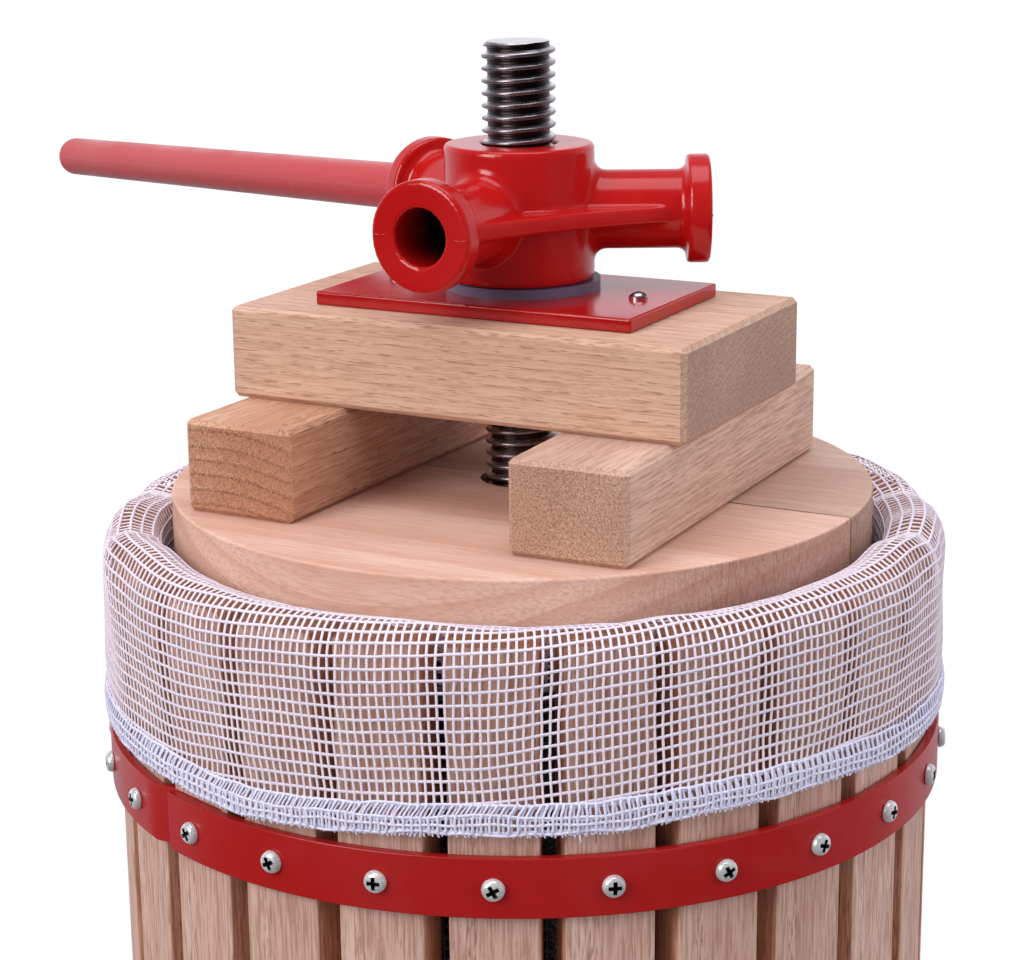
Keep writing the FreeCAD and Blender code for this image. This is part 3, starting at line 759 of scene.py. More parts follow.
@dataclass(frozen=True)
class FinishSet:
    """Every finish of the press, built into materials by name."""

    finishes: tuple = (
        WoodFinish(
            "stave_wood", GrainRun.UP_THE_STAVE, linear(224, 190, 175), linear(170, 126, 106),
            linear(118, 76, 56), linear(225, 212, 200), ring_spacing=3.6 * MM, pith=(0.008, 0.05),
            # The gap tint is painted shade on the staves' faces across the gaps
            porosity=0.8, streak=0.85, gap_shade_tint=(1.0, 0.80, 0.64),
        ),
        WoodFinish(
            "disc_wood", GrainRun.ALONG_THE_SEAM, linear(226, 190, 172), linear(198, 146, 124),
            linear(168, 108, 86), linear(222, 216, 214), seed=2.3, ring_spacing=9.0 * MM, pith=(0.0, 0.35),
            wander=7.0 * MM, ring_strength=0.5, pore_strength=0.4, porosity=0.45, speckle=0.5,
            dot_stretch=260.0,
        ),
        WoodFinish(
            "disc_wood_back", GrainRun.ALONG_THE_SEAM, linear(210, 180, 162), linear(178, 138, 118),
            linear(140, 96, 76), linear(222, 216, 214), seed=5.9, ring_spacing=6.0 * MM, pith=(0.04, 0.3),
            wander=6.0 * MM, ring_strength=0.45, pore_strength=0.4, porosity=0.5, speckle=0.5,
            dot_stretch=260.0,
        ),
        WoodFinish(
            "block_wood", GrainRun.ALONG_THE_SEAM, linear(219, 183, 159), linear(184, 139, 113),
            linear(142, 96, 72), linear(222, 222, 226), seed=4.1, ring_spacing=2.6 * MM, pith=(0.05, 0.46),
            porosity=1.0, streak=0.7, speckle=0.5,
        ),
        WoodFinish(
            "block_wood_left", GrainRun.ACROSS_THE_SEAM, linear(225, 184, 158), linear(174, 121, 90),
            linear(118, 68, 42), linear(236, 222, 214), seed=6.7, ring_spacing=5.2 * MM, pith=(0.068, 0.492),
            ring_strength=0.3, pore_strength=0.6, porosity=0.9, streak=0.75, speckle=0.6, ring_porous=1.0,
        ),
        WoodFinish(
            "block_wood_right", GrainRun.ACROSS_THE_SEAM, linear(222, 188, 168), linear(164, 124, 103),
            linear(126, 84, 62), linear(246, 239, 229), seed=9.2, ring_spacing=1.9 * MM, pith=(-0.09, 0.36),
            pore_strength=0.4, porosity=1.0, streak=0.6, speckle=0.66,
        ),
        PaintFinish("red_casting", RED, RED_FADED, roughness=0.15),
        PaintFinish(
            "red_nut", RED, RED_FADED, roughness=0.15,
            # The insides of these bores are darkened with painted shade
            bores=(
                ((-0.02135, -0.036979, 0.6488), (-0.5, -0.866025, 0.0)),
                ((0.0427, 0.0, 0.6488), (1.0, 0.0, 0.0)),
            ),
        ),
        # Painted shade: this red is darker than the casting's, standing for the plate's shade under the hub
        # and the dark that it mirrors
        PaintFinish("red_plate", linear(160, 12, 12), RED_FADED, roughness=0.16),
        PaintFinish("red_bar", linear(184, 34, 38), linear(190, 48, 54), roughness=0.26),
        PaintFinish("red_band", linear(168, 24, 24), linear(174, 34, 36), roughness=0.26),
        PaintFinish("red_enamel", linear(170, 16, 16), RED_FADED, roughness=0.16),
        PlatedSteel(),
        OiledThread(),
        PlatedSteel("zinc_head", (0.86, 0.88, 0.86), (0.66, 0.68, 0.68), roughness=0.26, metallic=0.45),
        # Painted shade: a near-black copy of the plating for the insides of the cross recesses
        PlatedSteel("zinc_recess_shade", (0.09, 0.09, 0.10), (0.04, 0.04, 0.045), roughness=0.4),
        MilkyPlastic(),
        YarnFinish("net_warp", linear(246, 234, 239), linear(228, 212, 220)),
        YarnFinish("net_weft", linear(239, 229, 242), linear(215, 204, 222)),
        YarnFinish("net_hem", linear(238, 236, 254), linear(218, 216, 240)),
        # Painted shade: the lining's yarn is a darkened copy of the net's yarn, for the shade inside the
        # basket
        YarnFinish("net_lining_shaded", linear(112, 102, 106), linear(84, 76, 80)),
    )

    def build(self) -> dict[str, bpy.types.Material]:
        """Builds all materials.

        Returns:
            The materials by name.
        """
        effects = Effects()
        return {finish.name: finish.material(effects) for finish in self.finishes}


def dress(node: str, material: bpy.types.Material) -> None:
    """Gives a frame node's object one material.

    Args:
        node: The node's name.
        material: The material for all its slots.
    """
    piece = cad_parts[node]
    piece.data.materials.clear()
    piece.data.materials.append(material)
    LOG.info("dressed %s in %s", node, material.name)


def link_object(name: str, data: bpy.types.ID) -> bpy.types.Object:
    """Makes an object of its data and links it to the scene.

    Args:
        name: The object's name.
        data: The mesh, light or camera that it shows.

    Returns:
        The new object.
    """
    made = bpy.data.objects.new(name, data)
    bpy.context.scene.collection.objects.link(made)
    return made


def shape_object(name: str, shape: bmesh.types.BMesh) -> bpy.types.Object:
    """Turns an edited shape into an object of the scene and frees the shape.

    Args:
        name: The object's name.
        shape: The edited shape.

    Returns:
        The new object.
    """
    mesh = bpy.data.meshes.new(name)
    shape.to_mesh(mesh)
    shape.free()
    return link_object(name, mesh)


def node_shape(node: str) -> bmesh.types.BMesh:
    """Copies a frame node's mesh for editing, with its corners welded.

    Args:
        node: The node's name.

    Returns:
        The editable copy.
    """
    shape = bmesh.new()
    shape.from_mesh(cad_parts[node].data)
    bmesh.ops.remove_doubles(shape, verts=shape.verts, dist=WELD)
    return shape


def run_lengths(points: np.ndarray) -> np.ndarray:
    """Returns the length along a run of points, up to each of them."""
    return np.concatenate([[0.0], np.cumsum(np.linalg.norm(np.diff(points, axis=0), axis=1))])


def mesh_object(name: str, vertices: np.ndarray, faces: np.ndarray, smooth: bool = True) -> bpy.types.Object:
    """Makes an object from arrays of vertices and four-cornered faces.

    Args:
        name: The object's name.
        vertices: The points, one row each.
        faces: The corners' indices, one row each.
        smooth: Whether the faces are shaded smooth.

    Returns:
        The new object, linked to the scene.
    """
    mesh = bpy.data.meshes.new(name)
    mesh.from_pydata(vertices.tolist(), [], faces.tolist())
    mesh.polygons.foreach_set("use_smooth", [smooth] * len(mesh.polygons))
    mesh.update()
    return link_object(name, mesh)


def add_piece(piece: bpy.types.Object, body: str, slot: str, *replaced: str) -> bpy.types.Object:
    """Makes a piece ride on its body, hides the frame nodes that it stands for and reports it.

    Args:
        piece: The finished piece.
        body: The body that carries it.
        slot: The record's material slot; not used.
        *replaced: The frame nodes that it stands for.

    Returns:
        The piece.
    """
    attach(piece, body)
    if replaced:
        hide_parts(*replaced)
    LOG.info("made %s on %s: %d faces", piece.name, body, len(piece.data.polygons))
    return piece


def apply_modifiers(piece: bpy.types.Object) -> None:
    """Puts a piece's modifiers into its mesh.

    Args:
        piece: The piece to change.
    """
    bpy.context.view_layer.update()
    graph = bpy.context.evaluated_depsgraph_get()
    mesh = bpy.data.meshes.new_from_object(piece.evaluated_get(graph))
    piece.modifiers.clear()
    mesh.name = piece.name
    piece.data = mesh


def from_azimuth(azimuth: np.ndarray, radius: np.ndarray, height: np.ndarray) -> np.ndarray:
    """Turns azimuths, radii and heights into points.

    Args:
        azimuth: The azimuths in radians.
        radius: The distances from the axis.
        height: The heights.

    Returns:
        The points, with x, y, z last.
    """
    return np.stack(
        np.broadcast_arrays(radius * np.sin(azimuth), -radius * np.cos(azimuth), height), axis=-1
    )


@dataclass
class PressScrew:
    """The fixed spindle, with its helical thread."""

    crest_radius: float = 12.7 * MM
    root_radius: float = 10.6 * MM
    pitch: float = 4.2 * MM
    chamfer: float = 2.0 * MM
    steps_per_turn: int = 40
    # Along one pitch: the share of the pitch and the share of the thread's depth
    profile: tuple = (
        (0.0, 0.08), (0.2, 0.0), (0.4, 0.06), (0.49, 0.45), (0.56, 0.84), (0.62, 0.98), (0.7, 1.0),
        (0.79, 0.97), (0.86, 0.82), (0.93, 0.45),
    )

    def build(self, materials: dict[str, bpy.types.Material]) -> None:
        """Makes the screw between its frame node's ends.

        Args:
            materials: The materials by name.
        """
        low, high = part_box("press_screw")
        count = len(self.profile)
        turns = math.ceil((high.z - low.z) / self.pitch) + 2
        steps = turns * self.steps_per_turn
        along = np.arange(steps + 1)[:, None]
        share, depth = np.array(self.profile).T
        height = low.z + self.pitch * (along / self.steps_per_turn + share[None, :] - 1.0)
        radius = self.root_radius + depth * (self.crest_radius - self.root_radius)
        end = np.minimum(high.z - height, height - low.z)
        radius = np.minimum(radius, self.crest_radius - np.clip(self.chamfer - end, 0.0, self.chamfer))
        azimuth = np.broadcast_to(along * math.tau / self.steps_per_turn, height.shape)
        points = from_azimuth(azimuth, radius, np.clip(height, low.z, high.z))
        # The next pitch's first row lies one turn further on
        faces = []
        row, column = np.meshgrid(np.arange(steps), np.arange(count - 1), indexing="ij")
        corner = row * count + column
        faces.append(np.stack([corner, corner + count, corner + count + 1, corner + 1], -1).reshape(-1, 4))
        row = np.arange(steps - self.steps_per_turn)
        last, following = row * count + count - 1, (row + self.steps_per_turn) * count
        faces.append(np.stack([last, last + count, following + count, following], -1))
        piece = mesh_object("spindle", points.reshape(-1, 3), np.concatenate(faces))
        self._close(piece, low.z, high.z)
        piece.data.materials.append(materials["dark_steel"])
        add_piece(piece, "base", "dark_steel", "press_screw")

    @staticmethod
    def _close(piece: bpy.types.Object, low: float, high: float) -> None:
        """Drops what lies flat beyond the ends and caps them.

        Args:
            piece: The screw.
            low: The height of its foot.
            high: The height of its top.
        """
        mesh = bmesh.new()
        mesh.from_mesh(piece.data)
        slack = 1e-7
        flat = [
            f for f in mesh.faces
            if all(v.co.z <= low + slack for v in f.verts) or all(v.co.z >= high - slack for v in f.verts)
        ]
        bmesh.ops.delete(mesh, geom=flat, context="FACES")
        bmesh.ops.remove_doubles(mesh, verts=mesh.verts, dist=0.02 * MM)
        bmesh.ops.delete(mesh, geom=[v for v in mesh.verts if not v.link_faces], context="VERTS")
        bmesh.ops.holes_fill(mesh, edges=[e for e in mesh.edges if e.is_boundary], sides=0)
        bmesh.ops.recalc_face_normals(mesh, faces=mesh.faces)
        for face in mesh.faces:
            face.smooth = len(face.verts) <= 4
        mesh.to_mesh(piece.data)
        mesh.free()


@dataclass
class PressNut:
    """The cast nut, with the soft corners that sand casting and paint leave."""

    voxel: float = 0.76 * MM
    smoothing: int = 2

    def build(self, materials: dict[str, bpy.types.Material]) -> None:
        """Makes the casting from its frame node's solid.

        Args:
            materials: The materials by name.
        """
        piece = shape_object("nut_casting", node_shape("press_nut"))
        remesh = piece.modifiers.new("casting", "REMESH")
        remesh.mode = "VOXEL"
        remesh.voxel_size = self.voxel
        remesh.use_smooth_shade = True
        smooth = piece.modifiers.new("paint", "SMOOTH")
        smooth.iterations = self.smoothing
        apply_modifiers(piece)
        piece.data.materials.append(materials["red_nut"])
        add_piece(piece, "press_nut", "red_casting", "press_nut")


@dataclass
class PaintedSteel:
    """The head plate and the hoops, whose cut edges the paint has rounded."""

    # Each node with its body, its finish and the radius of its edges
    plates: tuple = (
        ("head_plate", "press_head", "red_plate", 0.8 * MM), ("hoop_upper", "basket", "red_band", 0.45 * MM),
        ("hoop_lower", "basket", "red_band", 0.45 * MM),
    )
    sharp: float = math.radians(40.0)
    flat: float = math.radians(0.5)
    segments: int = 3

    def build(self, materials: dict[str, bpy.types.Material]) -> None:
        """Makes each plate from its frame node's solid.

        Args:
            materials: The materials by name.
        """
        for node, body, finish, radius in self.plates:
            mesh = node_shape(node)
            bmesh.ops.dissolve_limit(mesh, angle_limit=self.flat, verts=mesh.verts, edges=mesh.edges)
            edges = [e for e in mesh.edges if len(e.link_faces) == 2 and e.calc_face_angle() > self.sharp]
            bmesh.ops.bevel(
                mesh, geom=edges, offset=radius, segments=self.segments, profile=0.5, affect="EDGES"
            )
            for face in mesh.faces:
                face.smooth = True
            piece = shape_object(f"{node}_painted", mesh)
            piece.data.materials.append(materials[finish])
            piece.modifiers.new("flat faces", "WEIGHTED_NORMAL").weight = 100
            apply_modifiers(piece)
            add_piece(piece, body, finish, node)


@dataclass
class PaintRidges:
    """Thin raised lines in the paint: the mould's parting line on the sockets and a run along the plate."""

    width: float = 0.5 * MM
    nut_height: float = 648.8 * MM
    inner: float = 12.8 * MM
    outer: float = 18.0 * MM
    waver: float = 0.15 * MM
    # How deep the lines' ends, the run's middle and the run's ends sink, and how high its lumps stand
    end_sink: float = 0.35 * MM
    run_sink: float = 0.12 * MM
    run_end_sink: float = 0.5 * MM
    run_lump: float = 0.09 * MM
    run_inset: float = 0.14 * MM
    # Azimuths of the open sockets, in degrees
    sockets: tuple = (-30.0, 90.0)
    run_start: float = 8.0 * MM
    run_length: float = 52.0 * MM
    seam_yaw: float = math.radians(-27.4)

    def build(self, materials: dict[str, bpy.types.Material]) -> None:
        """Makes the nut's lines and the plate's run.

        Args:
            materials: The materials by name.
        """
        lines = []
        # The right socket looks along X, so the nut's box ends at its face
        face_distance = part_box("press_nut")[1].x
        for degrees in self.sockets:
            azimuth = np.array(math.radians(degrees))
            out, side = from_azimuth(azimuth, 1.0, 0.0), from_azimuth(azimuth + math.pi / 2, 1.0, 0.0)
            for sign in (-1.0, 1.0):
                share = np.linspace(0.0, 1.0, 9)
                sunk = self.end_sink * (2.0 * share - 1.0) ** 8
                reach = self.inner + share * (self.outer - self.inner)
                line = out * (face_distance - sunk)[:, None] + sign * side * reach[:, None]
                line[:, 2] += self.nut_height + self.waver * np.sin(7.0 * share + degrees)
                lines.append((line, UP, out))
        self._add("nut_parting_line", lines, "press_nut", "red_casting", materials["red_nut"])
        corners = np.array([vertex.co[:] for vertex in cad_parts["head_plate"].data.vertices])
        along = np.array([math.cos(self.seam_yaw), math.sin(self.seam_yaw), 0.0])
        inward = np.array([-along[1], along[0], 0.0])
        share = np.linspace(0.0, 1.0, 90)
        lumps = np.sin(41.0 * share) + np.sin(67.0 * share + 1.0) + np.sin(103.0 * share + 2.0)
        reach = (corners @ along).min() + self.run_start + share * self.run_length
        sunk = self.run_sink - self.run_lump * lumps + self.run_end_sink * (2.0 * share - 1.0) ** 10
        setback = (corners @ inward).min() + self.run_inset
        line = along * reach[:, None] + inward * setback + UP * (corners[:, 2].max() - sunk)[:, None]
        lines = [(line, (UP + inward) / math.sqrt(2), (UP - inward) / math.sqrt(2))]
        self._add("plate_paint_run", lines, "press_head", "red_plate", materials["red_plate"])

    def _add(self, name: str, lines: list[tuple], body: str, slot: str, material: bpy.types.Material) -> None:
        """Makes one piece of lines.

        Args:
            name: The piece's name.
            lines: Each line as its points, the direction across it and the direction out.
            body: The body that carries it.
            slot: The record's material slot.
            material: Its material.
        """
        ridges = YarnMesh()
        for points, across, out in lines:
            ridges.add(points[None], across, out, self.width, self.width, False, 0)
        add_piece(ridges.build(name, [material]), body, slot)


@dataclass
class HoopScrews:
    """The pan-head screws through the hoops into the staves, each with its cross recess."""

    head_height: float = 2.5 * MM
    span: float = 4.5 * MM
    arm: float = 1.35 * MM
    foot_span: float = 2.0 * MM
    foot_arm: float = 0.8 * MM
    recess: float = 1.9 * MM
    sides: int = 40
    first: float = math.radians(-3.9)
    count: int = 25
    seed: int = 8
    sharp: float = math.radians(38.0)
    # Corners of the frame's screws this near to an azimuth belong to the screw there
    neighbourhood: float = math.radians(3.0)
    # Radii and heights above the seat, from the crown down to the point
    section: tuple = (
        (0.0, 2.5), (1.1, 2.48), (2.1, 2.42), (2.75, 2.22), (3.2, 1.85), (3.5, 1.35), (3.68, 0.7),
        (3.74, 0.15), (3.68, 0.0), (1.8, -0.01), (1.8, -10.4), (0.5, -12.0), (0.0, -12.0),
    )

    def build(self, materials: dict[str, bpy.types.Material]) -> None:
        """Makes the screws of both hoops.

        Args:
            materials: The materials by name.
        """
        points, faces, slots = self._screw()
        draw = np.random.default_rng(self.seed)
        for node in ("hoop_screws_upper", "hoop_screws_lower"):
            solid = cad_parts[node].data
            low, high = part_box(node)
            corners = np.array([vertex.co[:] for vertex in solid.vertices])
            around = np.arctan2(corners[:, 0], -corners[:, 1])
            reach = np.hypot(corners[:, 0], corners[:, 1])
            placed, indices, materials_used = [], [], []
            for number in range(self.count):
                azimuth = self.first + number * math.tau / self.count
                near = np.abs((around - azimuth + math.pi) % math.tau - math.pi) < self.neighbourhood
                seat = reach[near].max() - self.head_height
                turn = draw.uniform(0.0, math.pi / 2)
                cosine, sine = math.cos(turn), math.sin(turn)
                across = points[:, 0] * cosine - points[:, 1] * sine
                rise = points[:, 0] * sine + points[:, 1] * cosine
                out = np.array([math.sin(azimuth), -math.cos(azimuth), 0.0])
                along = np.array([math.cos(azimuth), math.sin(azimuth), 0.0])
                spot = out * seat + UP * (low.z + high.z) / 2
                indices += [[corner + number * len(points) for corner in face] for face in faces]
                placed.append(spot + across[:, None] * along + rise[:, None] * UP + points[:, 2:3] * out)
                materials_used.append(slots)
            mesh = bpy.data.meshes.new(f"{node}_crossed")
            mesh.from_pydata(np.concatenate(placed).tolist(), [], indices)
            mesh.materials.append(materials["zinc_head"])
            # The second material is painted shade for the cross recesses
            mesh.materials.append(materials["zinc_recess_shade"])
            mesh.polygons.foreach_set("use_smooth", [True] * len(mesh.polygons))
            mesh.polygons.foreach_set("material_index", np.concatenate(materials_used))
            mesh.set_sharp_from_angle(angle=self.sharp)
            add_piece(link_object(mesh.name, mesh), "basket", "zinc_plate", node)

    def _screw(self) -> tuple[np.ndarray, list[list[int]], np.ndarray]:
        """Makes one screw that points up its own Z, with the recess cut into its head.

        Returns:
            Its points, its faces and each face's material index.
        """
        radius, height = np.array(self.section).T * MM
        azimuth = np.arange(self.sides) * math.tau / self.sides
        ring = from_azimuth(azimuth[None, :], radius[1:-1, None], height[1:-1, None])
        body = bmesh.new()
        rows = [[body.verts.new(point) for point in row] for row in ring]
        crown, point = body.verts.new((0.0, 0.0, height[0])), body.verts.new((0.0, 0.0, height[-1]))
        for side in range(self.sides):
            following = (side + 1) % self.sides
            body.faces.new((rows[0][side], rows[0][following], crown))
            body.faces.new((rows[-1][following], rows[-1][side], point))
            for upper, lower in zip(rows, rows[1:]):
                body.faces.new((lower[side], lower[following], upper[following], upper[side]))
        bmesh.ops.recalc_face_normals(body, faces=body.faces)
        screw = shape_object("screw_head", body)
        plugs = [shape_object(f"recess_{turn}", self._plug(turn * math.pi / 2)) for turn in (0, 1)]
        for plug in plugs:
            cut = screw.modifiers.new("recess", "BOOLEAN")
            cut.operation = "DIFFERENCE"
            cut.solver = "EXACT"
            cut.object = plug
        apply_modifiers(screw)
        mesh = screw.data
        points = np.array([vertex.co[:] for vertex in mesh.vertices])
        faces = [list(face.vertices) for face in mesh.polygons]
        depth = np.array([face.center.z for face in mesh.polygons])
        reach = np.array([math.hypot(face.center.x, face.center.y) for face in mesh.polygons])
        # Faces inside the cross recess take the near-black material, painted shade
        below_rim, above_seat = self.head_height - 0.35 * MM, 0.3 * MM
        inside = (depth < below_rim) & (depth > above_seat) & (reach < self.span / 2)
        for piece in (screw, *plugs):
            bpy.data.objects.remove(piece)
        return points, faces, inside.astype(int)

    def _plug(self, turn: float) -> bmesh.types.BMesh:
        """Makes one tapered arm pair of the recess.

        Args:
            turn: The arms' turn about the screw, in radians.

        Returns:
            The plug.
        """
        plug = bmesh.new()
        bmesh.ops.create_cube(plug, size=1.0)
        for vertex in plug.verts:
            top = vertex.co.z > 0
            length, width = (self.span, self.arm) if top else (self.foot_span, self.foot_arm)
            x, y = vertex.co.x * length, vertex.co.y * width
            z = self.head_height + (0.02 * MM if top else -self.recess)
            vertex.co = (x * math.cos(turn) - y * math.sin(turn), x * math.sin(turn) + y * math.cos(turn), z)
        return plug


class SmoothNoise:
    """A smooth field over the bag: a sum of waves that closes round the basket."""

    def __init__(self, seed: int, waves: int, turns: tuple[int, int], lengths: tuple[float, float]) -> None:
        """Draws the waves.

        Args:
            seed: The seed of the draw.
            waves: How many waves are summed.
            turns: The fewest and most waves round the basket.
            lengths: The shortest and longest wave along the cloth.
        """
        draw = np.random.default_rng(seed)
        self.turns = draw.integers(turns[0], turns[1] + 1, waves)
        self.rates = draw.choice([-1.0, 1.0], waves) * math.tau / draw.uniform(*lengths, waves)
        self.phases = draw.uniform(0.0, math.tau, waves)
        self.scale = 1.0 / math.sqrt(waves / 2.0)

    def __call__(self, azimuth: np.ndarray, along: np.ndarray) -> np.ndarray:
        """Reads the field.

        Args:
            azimuth: The azimuths in radians.
            along: The lengths along the cloth.

        Returns:
            The field, mostly between -1 and 1.
        """
        total = 0.0
        for turns, rate, phase in zip(self.turns, self.rates, self.phases):
            total = total + np.sin(turns * azimuth + rate * along + phase)
        return total * self.scale


@dataclass
class Gather:
    """A place on the rim where the bag is bunched into a pleat."""

    azimuth: float
    width: float
    pull: float
    dip: float


class YarnMesh:
    """Collects yarns as closed four-sided tubes and makes one mesh of them."""

    def __init__(self) -> None:
        """Starts with no yarns."""
        self.points: list[np.ndarray] = []
        self.faces: list[np.ndarray] = []
        self.slots: list[np.ndarray] = []
        self.total = 0

    def add(self, centre: np.ndarray, side: np.ndarray, out: np.ndarray, width: float, thickness: float,
            closed: bool, slot: int) -> None:
        """Adds many yarns of one kind.

        Args:
            centre: The points along each yarn, as yarns by points by xyz.
            side: The unit vectors across each yarn in the cloth, or what broadcasts to them.
            out: The unit vectors out of the cloth, or what broadcasts to them.
            width: The yarn's width.
            thickness: The yarn's thickness.
            closed: Whether each yarn is a ring.
            slot: The material's index.
        """
        yarns, length, _ = centre.shape
        half_side, half_out = side * width / 2, out * thickness / 2
        corners = ((1, -1), (1, 1), (-1, 1), (-1, -1))
        rim = np.stack([centre + half_side * a + half_out * b for a, b in corners], axis=2)
        yarn, step, edge = np.meshgrid(
            np.arange(yarns), np.arange(length if closed else length - 1), np.arange(4), indexing="ij"
        )
        here = self.total + (yarn * length + step) * 4
        there = self.total + (yarn * length + (step + 1) % length) * 4
        following = (edge + 1) % 4
        quads = np.stack([here + edge, here + following, there + following, there + edge], -1).reshape(-1, 4)
        self.faces.append(quads)
        if not closed:
            start = self.total + np.arange(yarns)[:, None] * length * 4
            end = start + (length - 1) * 4
            self.faces += [start + np.array([[3, 2, 1, 0]]), end + np.array([[0, 1, 2, 3]])]
        self.points.append(rim.reshape(-1, 3))
        self.slots.append(np.full(sum(len(f) for f in self.faces) - sum(len(s) for s in self.slots), slot))
        self.total += yarns * length * 4

    def build(self, name: str, materials: list[bpy.types.Material]) -> bpy.types.Object:
        """Makes the object.

        Args:
            name: The object's name.
            materials: The materials that the yarns' slots point at.

        Returns:
            The object, linked to the scene.
        """
        piece = mesh_object(name, np.concatenate(self.points), np.concatenate(self.faces))
        for material in materials:
            piece.data.materials.append(material)
        piece.data.polygons.foreach_set("material_index", np.concatenate(self.slots))
        piece.data.update()
        return piece


@dataclass
class StrainingBag:
    """The net bag: a lining inside the staves, a fold over the rim and a cuff with a hem outside.

    Its lines give heights in millimetres above the upper hoop's middle, by azimuth in degrees.
    """

    yarn_count: int = 346
    row_pitch: float = 3.95 * MM
    warp_width: float = 0.76 * MM
    weft_width: float = 0.9 * MM
    yarn_thickness: float = 0.42 * MM
    cuff_radius: float = 148.4 * MM
    lining_radius: float = 127.2 * MM
    hem_height: float = 10.5 * MM
    hem_stand: float = 0.5 * MM
    hem_puff: float = 0.55 * MM
    hem_seed: int = 21
    # Width and thickness of the hem's rows, of its upright yarns and of its loose ends
    hem_cord: tuple = (0.85 * MM, 0.55 * MM)
    hem_yarn: tuple = (0.82 * MM, 0.5 * MM)
    loose_end: tuple = (0.5 * MM, 0.35 * MM)
    # How far the hem's rows waver: finely and slowly in height, and outwards
    hem_waver: tuple = (0.07 * MM, 0.25 * MM, 0.08 * MM)
    hem_inset: float = 0.1 * MM
    hem_steps: int = 8
    yarn_stand: float = 0.1 * MM
    yarn_scatter: float = 0.16 * MM
    yarn_bend: float = 0.11 * MM
    # The upright yarns lean above this height, and their lean turns between these azimuths in degrees
    lean_height: float = 6.3 * MM
    lean_turn: tuple = (0.0, 9.0)
    # A thicker tuft of loose ends: its azimuth, its width and how much longer it is
    tuft: tuple = (math.radians(6.6), math.radians(0.7), 2.2)
    # The shortest and the longest loose end, in millimetres
    fray_lengths: tuple = (0.2, 1.0)
    fray_scatter: float = 0.5 * MM
    tucked: float = 1.5 * MM
    floor_hole_radius: float = 33.0 * MM
    disc_travel: float = 80.0 * MM
    ring_steps: int = 120
    # How far from its ends the cloth is held still
    held: float = 12 * MM
    # The yarns swing below this height over the hoop's middle, and fully after this fall
    swing_top: float = 66 * MM
    swing_fall: float = 38 * MM
    swing_bend: float = 1.4
    # From here on the cloth lies outside the staves, and what differs there blends in over a short run
    outside_radius: float = 140 * MM
    blend_run: float = 4 * MM
    # How far from the rim the gathers reach, and where and over what height they end below it
    gather_reach: float = 13 * MM
    gather_foot: float = 30 * MM
    gather_fade: float = 24 * MM
    # How far the cloth strays, in millimetres: round the basket, along itself, outwards and at its crest
    stray_round: float = 0.3
    stray_along: float = 0.25
    stray_out: float = 0.4
    stray_crest: float = 0.3
    fine_round: float = 0.1
    fine_along: float = 0.06
    # The share of the outward stray that is there all round
    fullness: float = 0.6
    hem_line: tuple = (
        (-180, 15.5), (-120, 16.0), (-65, 16.2), (-49, 15.3), (-37, 13.1), (-26, 14.8), (-17, 16.4),
        (-7, 18.0), (10, 17.7), (20, 20.2), (40, 21.2), (53, 19.2), (74, 18.1), (120, 16.5), (180, 15.5),
    )
    crest_line: tuple = (
        (-180, 80.5), (-140, 80.0), (-110, 79.8), (-95, 80.0), (-85, 80.8), (-76, 82.6), (-66, 85.0),
        (-57, 84.2), (-48, 81.6), (-38, 81.6), (-30, 81.2), (-22, 82.6), (-9, 81.8), (-3, 80.4),
        (10, 80.9), (16, 81.0), (20, 82.6), (24, 80.8), (39, 81.3), (46, 83.0), (50, 81.8), (57, 85.0),
        (66, 84.6), (76, 83.0), (86, 81.4), (100, 81.8), (112, 81.4), (145, 80.5), (180, 80.5),
    )
    # One row of the net, which climbs towards the right
    row_line: tuple = (
        (-180, 27.0), (-120, 22.0), (-70, 19.0), (-50, 19.1), (-40, 21.3), (-30, 23.7), (-22, 24.8),
        (-15, 26.2), (-8, 27.9), (-4, 28.6), (0, 29.9), (4, 31.3), (8, 32.7), (15, 34.5), (22, 36.3),
        (30, 38.1), (37, 38.9), (45, 39.3), (60, 39.4), (110, 34.0), (180, 27.0),
    )
    # How far the yarns have swung at the hem, in degrees
    lean_line: tuple = (
        (-180, 0.0), (-75, 1.8), (-60, 2.6), (-47, 2.7), (-32, 1.8), (-22, 1.1), (-14, 0.8), (-5, 0.3),
        (5, 0.0), (30, 0.0), (36, -0.6), (43, -1.4), (50, -2.0), (62, -2.0), (80, -1.2), (180, 0.0),
    )
    gathers: tuple = (
        Gather(-77.0, 8.0, 1.3, 2.6), Gather(-103.0, 6.0, 1.1, 1.6), Gather(-128.0, 8.0, 1.2, 1.6),
        Gather(-163.0, 7.0, 1.0, 1.4), Gather(154.0, 8.0, 1.2, 1.6), Gather(122.0, 7.0, 1.1, 1.6),
        Gather(97.0, 6.5, 1.3, 1.8), Gather(71.0, 5.5, 1.1, 2.2),
    )

    def __post_init__(self) -> None:
        """Reads the places that the frame fixes."""
        low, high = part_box("hoop_upper")
        self.hoop_middle = (low.z + high.z) / 2
        self.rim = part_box("stave_01")[1].z
        self.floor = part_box("straining_bag")[0].z
        self.sway_round = SmoothNoise(11, 7, (3, 12), (50 * MM, 160 * MM))
        self.sway_along = SmoothNoise(12, 8, (4, 17), (60 * MM, 200 * MM))
        self.sway_out = SmoothNoise(13, 9, (6, 26), (40 * MM, 120 * MM))
        self.fuzz = SmoothNoise(15, 9, (40, 110), (9 * MM, 40 * MM))

